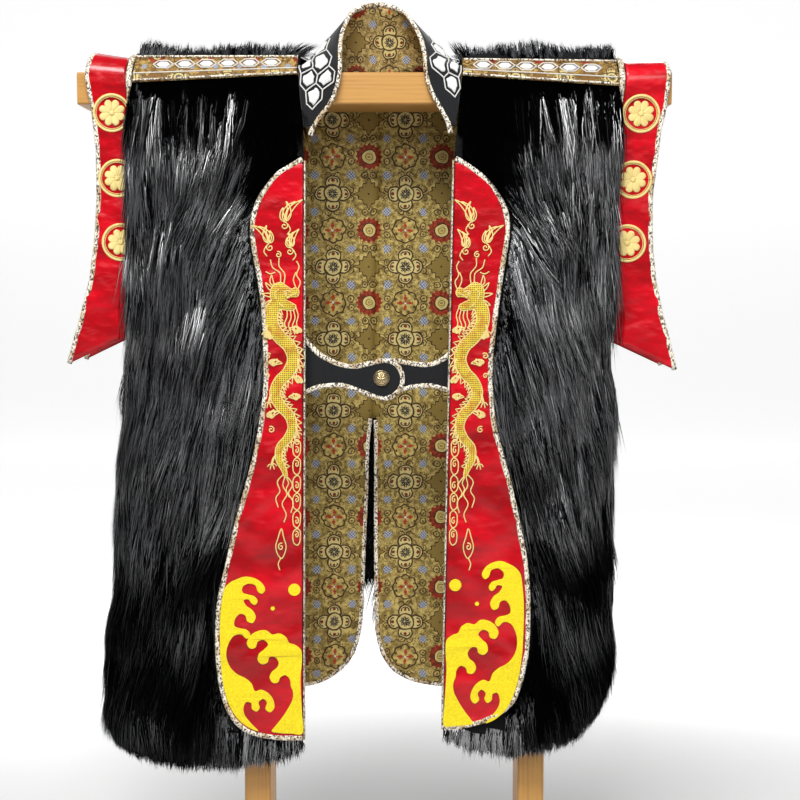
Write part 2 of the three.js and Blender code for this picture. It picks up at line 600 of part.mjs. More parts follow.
function collarNormal(u, v) {
  const last = COLLAR_BASE.length - 1;
  const a = new THREE.Vector3(...collarPoint(Math.max(0, u - 0.5), v));
  const b = new THREE.Vector3(...collarPoint(Math.min(last, u + 0.5), v));
  const c = new THREE.Vector3(...collarPoint(u, Math.max(0, v - 0.2)));
  const d = new THREE.Vector3(...collarPoint(u, Math.min(1, v + 0.2)));
  const n = b.sub(a).cross(d.sub(c)).normalize();
  const out = new THREE.Vector3(...collarPoint(u, v)).sub(TOWARDS_BEAM);
  return n.dot(out) < 0 ? n.negate() : n;
}

// Width of the collar at a station, square to its free edge.
function collarHeight(u) {
  const last = COLLAR_BASE.length - 1;
  const a = new THREE.Vector3(...collarPoint(u, 0));
  const b = new THREE.Vector3(...collarPoint(u, 1));
  const ahead = new THREE.Vector3(...collarPoint(Math.min(last, u + 0.5), 1));
  const behind = new THREE.Vector3(...collarPoint(Math.max(0, u - 0.5), 1));
  const edge = ahead.sub(behind).normalize();
  return b.sub(a).cross(edge).length();
}

function collarLayer(depth, thick, stops) {
  const outer = [];
  const inner = [];
  const last = COLLAR_BASE.length - 1;
  const stations = Array.from({ length: last + 1 }, (_, k) => k);
  stations[0] = 0.6;
  stations[last] = last - 0.6;
  stations.forEach((u) => {
    const top = 1 - (PIPING + 2 * SEAM) / collarHeight(u);
    const rows = stops.map((t) => [collarPoint(u, t * top), collarNormal(u, t * top).toArray()]);
    outer.push(rows.map(([p, n]) => p.map((v, i) => v - n[i] * depth)));
    inner.push(rows.map(([p, n]) => p.map((v, i) => v - n[i] * (depth + thick))));
  });
  return wall(outer, inner);
}

// A hexagonal pad standing out of a surface.
function pad(centre, normal, first, long, wide, rise) {
  const n = new THREE.Vector3(...normal);
  const a = new THREE.Vector3(...first);
  a.addScaledVector(n, -a.dot(n)).normalize();
  const b = new THREE.Vector3().crossVectors(n, a);
  const ring = (grow, h) => Array.from({ length: 6 }, (_, k) => {
    const p = new THREE.Vector3(...centre).addScaledVector(n, h);
    p.addScaledVector(a, Math.cos(k * Math.PI / 3) * long * grow);
    p.addScaledVector(b, Math.sin(k * Math.PI / 3) * wide * grow);
    return p.toArray();
  });
  const points = [...ring(1, -1.1), ...ring(0.9, rise)];
  const triangles = [];
  for (let k = 0; k < 6; k += 1) {
    const j = (k + 1) % 6;
    triangles.push([k, j, 6 + j], [k, 6 + j, 6 + k]);
  }
  for (let k = 1; k < 5; k += 1) triangles.push([0, k + 1, k], [6, 6 + k, 6 + k + 1]);
  return closed(points, triangles);
}

function collarOuter() {
  const pads = COLLAR_PADS.map(([u, v]) => {
    const a = new THREE.Vector3(...collarPoint(u - 0.4, v));
    const b = new THREE.Vector3(...collarPoint(u + 0.4, v));
    const n = collarNormal(u, v).toArray();
    return pad(collarPoint(u, v), n, b.sub(a).toArray(), PAD_RADIUS, PAD_RADIUS, PAD_RISE);
  });
  return joined(collarLayer(0, COLLAR_CLOTH, [0, 0.33, 0.67, 1]), pads);
}

function collarPiping() {
  const path = [];
  const normals = [];
  for (let u = 0; u < COLLAR_BASE.length; u += 1) {
    const v = Math.max(0.7, 1 - PIPING / 2 / collarHeight(u));
    const n = collarNormal(u, v);
    path.push(collarPoint(u, v).map((c, i) => c - n.getComponent(i) * 2));
    normals.push(n.toArray());
  }
  return bead(path, normals, PIPING, PIPING_THICK + 1);
}

// ---------------------------------------------------------- strips on the shoulder
function shoulderStrip(side) {
  const neck = at(side.fold, 1100) + 0.6;
  const end = at(side.edge, 1100) - 0.4;
  const stations = [0, 0.2, 0.4, 0.6, 0.8, 1].map((t) => mix(neck, end, t));
  const rows = shoulderRows(side, stations).map((row) => row.outer);
  const lifted = (lift) => rows.map((row) => row.map(([x, y, z]) => [x, y - lift * 0.7, z + lift * 0.7]));
  const base = wall(mirrored(side, lifted(SEAM + 1.6)), mirrored(side, lifted(SEAM)));
  const pads = Array.from({ length: STRIP_PADS }, (_, k) => {
    const x = neck + (side.sign < 0 ? 33 : 26) + k * STRIP_PITCH;
    const t = (x - neck) / (end - neck);
    const low = mixPoint(side.stripLow.neck, side.stripLow.end, t);
    const high = mixPoint(side.stripHigh.neck, side.stripHigh.end, t);
    const [y, z] = mixPoint(low, high, 0.62);
    const lift = (SEAM + 1.6) * 0.7 + 0.6;
    return pad([side.sign * x, y - lift, z + lift], [0, -0.7071, 0.7071], [1, 0, 0], 8, 6.4, 1.4);
  });
  return joined(base, pads);
}

// Bound seam round the armhole, from the front over the shoulder to the back.
function armholePiping(side) {
  const half = [[-49, 868], [-49, 879], [-49, 940], [-49, 1004], [-49, 1042], [-53, 1076], [-57.5, 1092],
    [-45, 1106], [-30, 1117], [-12, 1124]];
  const lower = side.sign > 0 ? 3.5 : 0;
  const arch = [...half, ...half.slice().reverse().map(([y, z]) => [-y, z])];
  const path = arch.map(([y, z]) => {
    const drop = z > 1060 ? lower * (z - 1060) / 60 : 0;
    const x = at(side.edge, z) + 4.4;
    return [side.sign * x, y, z - drop];
  });
  const normals = arch.map(([y, z]) => (z > 1085 ? [0, y / 60, 1] : [0, Math.sign(y), 0]));
  return bead(path, normals, 7.2, 4.6);
}

// -------------------------------------------------------------- the sleeve wings
function sleevePaths(side, outset) {
  const inner = [];
  const outer = [];
  const { inner: deep, tip } = side.sleeveHem;
  const steps = 9;
  for (let k = 0; k <= steps; k += 1) {
    const t = k / steps;
    const zi = mix(deep, 1062, t);
    const zo = mix(tip, 1062, t);
    const sway = 2.5 * (1 - t) * Math.sin(5 * t);
    inner.push([at(side.sleeveIn, zi), -46.8 - 0.4 * sway, zi]);
    outer.push([at(side.sleeveOut, zo) - outset, -46.8 - sway - 4 * (1 - t) ** 2, zo]);
  }
  side.sleeveTop.inner.forEach(([y, z], k) => {
    const [yo, zo] = side.sleeveTop.outer[k];
    inner.push([at(side.sleeveIn, z), y, z]);
    outer.push([at(side.sleeveOut, zo) - outset, yo, zo]);
  });
  const flip = (list) => [...list, ...list.slice(0, -1).reverse().map(([x, y, z]) => [x, -y, z])];
  return [flip(inner), flip(outer)];
}

function rowNormals(path) {
  return path.map((p, i) => {
    const a = path[Math.max(0, i - 1)];
    const b = path[Math.min(path.length - 1, i + 1)];
    const n = new THREE.Vector3(0, -(b[2] - a[2]), b[1] - a[1]);
    return n.normalize().toArray();
  });
}

function sleeve(side) {
  const [inner, outer] = sleevePaths(side, PIPING + SEAM);
  const stops = [0, 0.33, 0.67, 1];
  const grid = inner.map((p, i) => stops.map((t) => mixPoint(p, outer[i], t)));
  const normals = rowNormals(inner);
  const lifted = grid.map((row, i) => row.map((p) => p.map((v, k) => v + normals[i][k] * LEATHER)));
  return wall(mirrored(side, lifted), mirrored(side, grid));
}

function sleevePiping(side) {
  const [, outer] = sleevePaths(side, PIPING / 2);
  const normals = rowNormals(outer);
  const path = outer.map((p, i) => p.map((v, k) => v + normals[i][k] * 1));
  return bead(mirrored(side, [path])[0], normals, PIPING, PIPING_THICK);
}

// ---------------------------------------------------------------------- the tabs
// y of the outer face of a chest tab.
function tabY(x, base) {
  const clear = smooth((91 - Math.abs(x - 3)) / 26);
  return mix(-49.3, base, clear);
}

function tabLoop(top, low, flip) {
  const turn = (list) => (flip ? list.map(([x, z]) => [-x, z]).reverse() : list);
  return [...turn(top), ...turn(low).slice().reverse()];
}

function tab(top, low, base, flip) {
  const loop = offset(tabLoop(top, low, flip), -PIPING - SEAM);
  const upper = loop.slice(0, top.length);
  const under = loop.slice(top.length).reverse();
  const sign = flip ? -1 : 1;
  const grid = upper.map((p, i) => [0, 0.35, 0.65, 1].map((t) => {
    const [x, z] = mixPoint(p, under[i], t);
    return [sign * x, tabY(sign * x, base), z];
  }));
  const back = grid.map((row) => row.map(([x, y, z]) => [x, y + TAB_CLOTH, z]));
  return wall(grid, back);
}

function tabPiping(top, low, base, flip) {
  const sign = flip ? -1 : 1;
  const path = offset(tabLoop(top, low, flip), -PIPING / 2).map(([x, z]) => [sign * x, tabY(sign * x, base) + 1.1, z]);
  return bead(path, path.map(() => [0, -1, 0]), PIPING, 3.2);
}

function button() {
  const { radius, height } = BUTTON;
  const profile = [[0, 0], [radius * 0.86, 0], [radius, 1.2], [radius, 2.4], [radius * 0.86, 3.4],
    [radius * 0.6, 5.2], [radius * 0.3, 6.2], [0, height]];
  const points = profile.map(([r, h]) => new THREE.Vector2(r, h));
  const geometry = new THREE.LatheGeometry(points, 20);
  geometry.rotateX(Math.PI);
  geometry.translate(BUTTON.x, TAB_FRONT - 0.3, BUTTON.z);
  return geometry;
}

const TAB_FRONT = -55.2;
const TAB_BEHIND = -51.3;

// --------------------------------------------------------------------- the stand
// A board with a small chamfer on every edge.
function board(width, depth, height, chamfer) {
  const [a, b, c] = [width / 2, depth / 2, height / 2];
  const shape = new THREE.Shape();
  shape.moveTo(-a + chamfer, -b);
  shape.lineTo(a - chamfer, -b);
  shape.lineTo(a, -b + chamfer);
  shape.lineTo(a, b - chamfer);
  shape.lineTo(a - chamfer, b);
  shape.lineTo(-a + chamfer, b);
  shape.lineTo(-a, b - chamfer);
  shape.lineTo(-a, -b + chamfer);
  const geometry = new THREE.ExtrudeGeometry(shape, {
    depth: height,
    bevelEnabled: false,
  });
  geometry.translate(0, 0, -c);
  return geometry;
}

// ------------------------------------------------------------------ the assembly
const group = new THREE.Group();

function add(name, geometry, material, position = [0, 0, 0]) {
  const mesh = new THREE.Mesh(geometry, material);
  mesh.name = name;
  mesh.position.set(...position);
  group.add(mesh);
  return mesh;
}

const legHeight = BEAM_TOP - BEAM_HEIGHT - FOOT_HEIGHT - 2 * TOUCH;
const legMiddle = FOOT_HEIGHT + TOUCH + legHeight / 2;
const beamMesh = add('stand_beam', board(BEAM_HEIGHT, BEAM_DEPTH, BEAM_LENGTH, 2), PINE,
  [BEAM_CENTRE, 0, BEAM_TOP - BEAM_HEIGHT / 2]);
beamMesh.rotation.y = Math.PI / 2;
add('stand_leg_left', board(LEG_WIDTH, LEG_DEPTH, legHeight, 2), PINE, [LEG_LEFT, 0, legMiddle]);
add('stand_leg_right', board(LEG_WIDTH, LEG_DEPTH, legHeight, 2), PINE, [LEG_RIGHT, 0, legMiddle]);
add('stand_foot_left', board(FOOT_WIDTH, FOOT_LENGTH, FOOT_HEIGHT, 6), PINE, [LEG_LEFT, 0, FOOT_HEIGHT / 2]);
add('stand_foot_right', board(FOOT_WIDTH, FOOT_LENGTH, FOOT_HEIGHT, 6), PINE, [LEG_RIGHT, 0, FOOT_HEIGHT / 2]);

Object.entries(SIDES).forEach(([name, side]) => {
  add(`front_${name}`, frontPanel(side), FUR);
  add(`back_${name}`, backPanel(side), FUR);
  add(`back_lining_${name}`, backLining(side), BROCADE);
  add(`vent_piping_${name}`, ventPiping(side), BINDING);
  add(`lapel_${name}`, lapel(side), RED_LEATHER);
  add(`lapel_piping_${name}`, lapelPiping(side), BINDING);
  add(`front_edge_piping_${name}`, edgePiping(side), BINDING);
  add(`wave_outer_${name}`, wave(side, WAVE_OUTER, side.waves.outer), YELLOW_FELT);
  add(`wave_inner_${name}`, wave(side, WAVE_INNER, side.waves.inner), YELLOW_FELT);
  add(`wave_drop_large_${name}`, dot(side, side.dots[0]), YELLOW_FELT);
  add(`wave_drop_small_${name}`, dot(side, side.dots[1]), YELLOW_FELT);
  add(`shoulder_strip_${name}`, shoulderStrip(side), STRIP_GOLD);
  add(`armhole_piping_${name}`, armholePiping(side), BINDING);
  add(`sleeve_${name}`, sleeve(side), RED_LEATHER);
  add(`sleeve_piping_${name}`, sleevePiping(side), BINDING);
});

add('collar_outer', collarOuter(), BLACK_WOOL);
add('collar_lining', collarLayer(COLLAR_CLOTH + 3.2 * SEAM, LINING, [0, 0.33, 0.67, 1]), BROCADE);
add('collar_piping', collarPiping(), BINDING);
add('tab_left', tab(TAB_LEFT_TOP, TAB_LEFT_LOW, TAB_FRONT, false), BLACK_WOOL);
add('tab_right', tab(TAB_RIGHT_TOP, TAB_RIGHT_LOW, TAB_BEHIND, true), BLACK_WOOL);
add('tab_piping_left', tabPiping(TAB_LEFT_TOP, TAB_LEFT_LOW, TAB_FRONT, false), BINDING);
add('tab_piping_right', tabPiping(TAB_RIGHT_TOP, TAB_RIGHT_LOW, TAB_BEHIND, true), BINDING);
add('button', button(), BRASS);

// The frame's origin is under the middle of the whole thing, on the floor.
group.updateMatrixWorld(true);
const box = new THREE.Box3().setFromObject(group, true);
const centre = box.getCenter(new THREE.Vector3());
group.children.forEach((mesh) => {
  mesh.position.x -= centre.x;
  mesh.position.y -= centre.y;
  mesh.position.z -= box.min.z;
});

export default group;
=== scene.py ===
# %% [markdown]
# # A surcoat of long fur on its wooden stand
# A jinbaori is the sleeveless coat that was worn over armour. This one has body
# panels of long black fur, red leather lapels with felt waves and gold embroidery,
# red leather wings at the shoulders, a stiff collar, and a brocade lining.
# The lesson dresses a plain model of it. We first load that model as a fixed frame,
# so that every piece we make lands where the plain one is.

# %% Load the frame
import math

import bpy
import numpy as np
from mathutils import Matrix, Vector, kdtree


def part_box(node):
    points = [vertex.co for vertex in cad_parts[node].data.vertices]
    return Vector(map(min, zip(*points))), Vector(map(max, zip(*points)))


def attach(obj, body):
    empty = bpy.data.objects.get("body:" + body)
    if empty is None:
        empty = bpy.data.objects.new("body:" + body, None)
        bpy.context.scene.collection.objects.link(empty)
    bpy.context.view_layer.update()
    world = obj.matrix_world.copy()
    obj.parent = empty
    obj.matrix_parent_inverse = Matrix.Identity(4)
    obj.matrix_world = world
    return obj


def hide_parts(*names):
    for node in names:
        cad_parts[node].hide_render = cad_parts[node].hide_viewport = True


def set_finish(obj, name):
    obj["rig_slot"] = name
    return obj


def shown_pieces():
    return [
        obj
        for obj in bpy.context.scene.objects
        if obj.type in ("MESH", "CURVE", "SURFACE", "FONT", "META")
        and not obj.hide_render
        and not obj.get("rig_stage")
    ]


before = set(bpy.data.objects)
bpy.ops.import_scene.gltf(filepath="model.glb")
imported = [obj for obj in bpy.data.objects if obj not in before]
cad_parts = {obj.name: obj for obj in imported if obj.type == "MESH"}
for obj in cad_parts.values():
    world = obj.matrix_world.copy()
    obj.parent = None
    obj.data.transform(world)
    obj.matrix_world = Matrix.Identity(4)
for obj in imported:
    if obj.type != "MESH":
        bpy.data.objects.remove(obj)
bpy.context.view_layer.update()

MM = 0.001
PATTERN_LEG = -155.0  # where the pattern draws the stand's left leg
leg_low, leg_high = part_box("stand_leg_left")
SHIFT = (leg_low.x + leg_high.x) / 2 / MM - PATTERN_LEG
print("the pattern moves", round(SHIFT, 2), "mm in x to meet the frame")

# %% [markdown]
# ## The camera, the floor and the light
# The camera comes first, because everything is judged through it. It stands two
# metres off with a long lens, as a catalogue's does, and looks slightly down.
# The floor and the wall behind are one plain pale sheet with a swept corner, so no
# line crosses the view. Black fur and red leather are both glossy: they show as
# form only where they mirror something bright, so the lamps are large panels.

# %% Camera
CAMERA = (0.030 + SHIFT * MM, -1.975, 0.843)
LOOK_DOWN = 4.59  # degrees
LENS = 68.4

camera = bpy.data.objects.new("camera", bpy.data.cameras.new("camera"))
camera.data.lens = LENS
camera.data.sensor_width = 36.0
camera.location = CAMERA
camera.rotation_euler = (math.radians(90 - LOOK_DOWN), 0, 0)
bpy.context.scene.collection.objects.link(camera)
bpy.context.scene.camera = camera
print("camera at", [round(v, 3) for v in CAMERA])


# %% [markdown]
# ## Writing shaders as sums
# A material is a tree of small nodes. Wiring each by hand hides the idea, so one
# class wraps an output socket and lets us write 1 - mask or a * b + c. An expression
# adds the Math nodes for us. Colours and vectors don't go through Math nodes, which
# would turn them grey: they have Mix and Vector Math, reached by the same method.

# %% A socket that can be used in sums
class Wire:
    """An output socket of a material's tree that takes part in sums like a number."""

    def __init__(self, tree, socket=None):
        self.tree, self.socket = tree, socket

    def node(self, kind, settings=None, inputs=None, out=0):
        made = self.tree.nodes.new(kind)
        for key, value in (settings or {}).items():
            setattr(made, key, value)
        for key, value in (inputs or {}).items():
            if isinstance(value, Wire):
                self.tree.links.new(value.socket, made.inputs[key])
            else:
                made.inputs[key].default_value = value
        return Wire(self.tree, made.outputs[out])

    def math(self, operation, *values):
        return self.node("ShaderNodeMath", {"operation": operation}, dict(enumerate(values)))

    def __add__(self, other):
        return self.math("ADD", self, other)

    __radd__ = __add__

    def __sub__(self, other):
        return self.math("SUBTRACT", self, other)

    def __rsub__(self, other):
        return self.math("SUBTRACT", other, self)

    def __mul__(self, other):
        return self.math("MULTIPLY", self, other)

    __rmul__ = __mul__

    def __truediv__(self, other):
        return self.math("DIVIDE", self, other)

    def __gt__(self, other):
        return self.math("GREATER_THAN", self, other)

    def __lt__(self, other):
        return self.math("LESS_THAN", self, other)

    def __abs__(self):
        return self.math("ABSOLUTE", self)

    def sin(self):
        return self.math("SINE", self)

    def cos(self):
        return self.math("COSINE", self)

    def rounded(self):
        return self.math("ROUND", self)

    def modulo(self, other):
        return self.math("FLOORED_MODULO", self, other)

    def length_with(self, other):
        return self.math("SQRT", self * self + other * other)

    def angle_to(self, other):
        return self.math("ARCTAN2", self, other)

    def smaller(self, other):
        return self.math("MINIMUM", self, other)

    def larger(self, other):
        return self.math("MAXIMUM", self, other)

    def between(self, low, high):
        """0 below low, 1 above high, and a smooth step from one to the other."""
        settings = {"interpolation_type": "SMOOTHSTEP"}
        return self.node("ShaderNodeMapRange", settings, {"Value": self, 1: low, 2: high})

    def blend(self, below, above):
        """The colour below where this mask is 0, and the colour above where it is 1."""
        colours = {0: self, 6: rgba(below), 7: rgba(above)}
        return self.node("ShaderNodeMix", {"data_type": "RGBA"}, colours, out=2)


def rgba(colour):
    return colour if isinstance(colour, Wire) else (*colour, 1)


# %% [markdown]
# A finish starts from one shader. What is the same all over is set on the shader's
# own socket; only what changes over the surface is linked to it.

# %% Starting a finish
class Finish:
    """A material with one shader, and where a point of the surface is, in metres."""

    def __init__(self, name, **same_all_over):
        self.material = bpy.data.materials.new(name)
        self.material.use_nodes = True
        tree = self.material.node_tree
        self.shader = tree.nodes["Principled BSDF"]
        self.start = Wire(tree)
        for key, value in same_all_over.items():
            self.shader.inputs[key.replace("_", " ")].default_value = value

    def point(self):
        return self.start.node("ShaderNodeTexCoord", out="Object")

    def axes(self, vector=None):
        vector = vector or self.point()
        split = self.start.node("ShaderNodeSeparateXYZ", None, {0: vector})
        outs = split.socket.node.outputs
        return [Wire(self.start.tree, outs[k]) for k in range(3)]

    def noise(self, size_mm, detail=2.0, stretch=(1, 1, 1), vector=None, out=0):
        scaled = self.start.node(
            "ShaderNodeVectorMath", {"operation": "MULTIPLY"},
            {0: vector or self.point(), 1: stretch})
        inputs = {"Vector": scaled, "Scale": 1 / (size_mm * MM), "Detail": detail}
        return self.start.node("ShaderNodeTexNoise", None, inputs, out=out)

    def uses(self, **links):
        for key, value in links.items():
            self.start.tree.links.new(value.socket, self.shader.inputs[key.replace("_", " ")])

    def bumped(self, height, distance_mm, strength=1.0):
        inputs = {"Height": height, "Distance": distance_mm * MM, "Strength": strength}
        self.uses(Normal=self.start.node("ShaderNodeBump", None, inputs))


# %% [markdown]
# ### Pine
# The stand is planed pine: pale yellow early wood between darker rings of late wood.
# Rings seen along a board are long wavy stripes, so we stretch a coordinate along
# the grain and take a sine of it. The beam's grain runs along x, the legs' along z.

# %% Pine
EARLY_WOOD, LATE_WOOD, STAIN = (0.53, 0.275, 0.066), (0.35, 0.145, 0.027), (0.50, 0.25, 0.075)
RING_PHASE = 1150  # radians of the sine for each metre across the grain
GRAIN_STRETCH = 0.06  # lengths along the grain shrink by this, which draws the noise out


def pine(name, grain):
    wood = Finish(name, Coat_Weight=0.08, Coat_Roughness=0.4)
    x, y, z = wood.axes()
    along, across, deep = {"x": (x, z, y), "y": (y, x, z), "z": (z, x, y)}[grain]
    stretch = tuple(GRAIN_STRETCH if axis == grain else 1 for axis in "xyz")
    drift = wood.noise(60, 3, stretch)
    rings = (across + 0.35 * deep) * RING_PHASE + drift * 26 + along * 2.0
    rings = rings.sin() * 0.5 + 0.5
    fine = wood.noise(1.1, 3, tuple(0.02 if s < 1 else 1 for s in stretch))
    faint = wood.noise(9, 2, stretch).between(0.35, 0.7)
    late = rings.between(0.4, 1.0) * faint * 0.55 + fine.between(0.45, 0.75) * 0.35
    colour = late.blend(EARLY_WOOD, LATE_WOOD)
    stain = wood.noise(140, 2).between(0.35, 0.75) * 0.4
    colour = stain.blend(colour, STAIN)
    wood.uses(Base_Color=colour, Roughness=0.42 + 0.14 * late)
    wood.bumped(late * -0.4 + fine * 0.6, 0.12, 0.5)
    return wood.material


GRAIN = {"beam": "x", "leg_left": "z", "leg_right": "z", "foot_left": "y", "foot_right": "y"}
for part, grain in GRAIN.items():
    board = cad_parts["stand_" + part]
    board.data.materials.clear()
    board.data.materials.append(pine("pine_" + part, grain))
    board.modifiers.new("one_skin", "WELD").merge_threshold = 0.02 * MM
    soften = board.modifiers.new("eased_edges", "BEVEL")
    soften.width = 0.8 * MM
    soften.segments = 2
    soften.limit_method = "ANGLE"
    board["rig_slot"] = "pine"
print("pine on", len(GRAIN), "boards")

# %% [markdown]
# ### The fur and the hide under it
# Each hair is glossy and nearly black, with a cool grey where it mirrors a lamp: a
# clear coat with a high index over a dark core. A hair with a high number also gets a
# cool grey base colour, a painted highlight that fades back to black at its tip. No
# two hairs are alike, so the shader reads each hair's own number, which we store as u
# in its map, and the way from root to tip, stored as v.

# %% Fur and hide
DULL_HAIR, GLOSSY_HAIR_PAINTED_HIGHLIGHT = (0.0006, 0.0006, 0.0007), (0.034, 0.036, 0.041)
HAIR_TIP = (0.003, 0.003, 0.0035)
SKIN_DARK, SKIN_LIGHT = (0.002, 0.002, 0.0025), (0.006, 0.006, 0.007)

hair = Finish("black_fur", Specular_IOR_Level=0.0, Coat_Roughness=0.27, Coat_IOR=3.3)
strand_map = hair.start.node("ShaderNodeUVMap", {"uv_map": "OFBake"})
own, tip, _ = hair.axes(strand_map)
# Painted highlight: the base colour turns from black to a cool grey as the hair's number grows.
tone = (own * own).blend(DULL_HAIR, GLOSSY_HAIR_PAINTED_HIGHLIGHT)
hair.uses(Base_Color=tip.between(0.75, 1.0).blend(tone, HAIR_TIP))
hair.uses(Roughness=0.55 - 0.15 * own, Coat_Weight=own.between(0.16, 0.95))
FUR = hair.material

undercoat = Finish("fur_undercoat", Roughness=0.9, Specular_IOR_Level=0.2)
undercoat.uses(Base_Color=undercoat.noise(3, 2).blend(SKIN_DARK, SKIN_LIGHT))
undercoat.bumped(undercoat.noise(2.2, 3, (1, 1, 0.3)), 1.5)
HIDE = undercoat.material


# %% [markdown]
# ### Red leather
# The lapels and wings are thin glossy leather, dyed crimson. A fine pebble grain
# breaks the mirror, the dye is a little uneven, and creases catch it darker.

# %% Leather
DYE_DARK, DYE_BRIGHT = (0.33, 0.0005, 0.0035), (0.64, 0.0013, 0.011)
PEBBLE = 1.5  # mm from one pebble of the grain to the next

skin = Finish("red_leather", Specular_IOR_Level=0.1, Coat_Weight=0.5, Coat_Roughness=0.2)
pebble = skin.start.node("ShaderNodeTexVoronoi", {"feature": "DISTANCE_TO_EDGE"},
                         {"Vector": skin.point(), "Scale": 1 / (PEBBLE * MM)})
slack = skin.noise(38, 2, (0.8, 1, 1.2))
soft = skin.noise(13, 2, (0.7, 1, 1.3))
cloudy = skin.noise(46, 3, (0.7, 1, 1.4))
dye = cloudy.between(0.3, 0.75).blend(DYE_DARK, DYE_BRIGHT)
skin.uses(Base_Color=dye, Roughness=0.30 + 0.16 * skin.noise(9, 3))
skin.bumped(slack * 15 + soft * 2.6 + pebble.between(0.0, 0.35) * 0.05, 1.0, 0.8)
LEATHER_RED = skin.material


# %% [markdown]
# ### Brocade
# The lining is a woven silk with a repeat of four motifs on a square lattice:
# quatrefoil medallions, red cross flowers, serrated rosettes and lobed diamonds,
# with bunches of pale blue dots at the corners between them. Each is a formula of
# the distance and the angle round its own centre, so the cloth needs no picture.
# Dark scroll lines tie them together, and a fine twill gives the silk its nap.

# %% Brocade
CELL = 48.0  # mm between neighbouring motifs
INK, RUST, RED = (0.040, 0.016, 0.007), (0.16, 0.020, 0.008), (0.36, 0.040, 0.014)
PALE, SLATE, BLUE = (0.70, 0.58, 0.24), (0.11, 0.12, 0.15), (0.46, 0.49, 0.58)
NIGHT, IVORY, SHADE = (0.022, 0.020, 0.026), (0.7, 0.68, 0.6), (0.05, 0.03, 0.012)


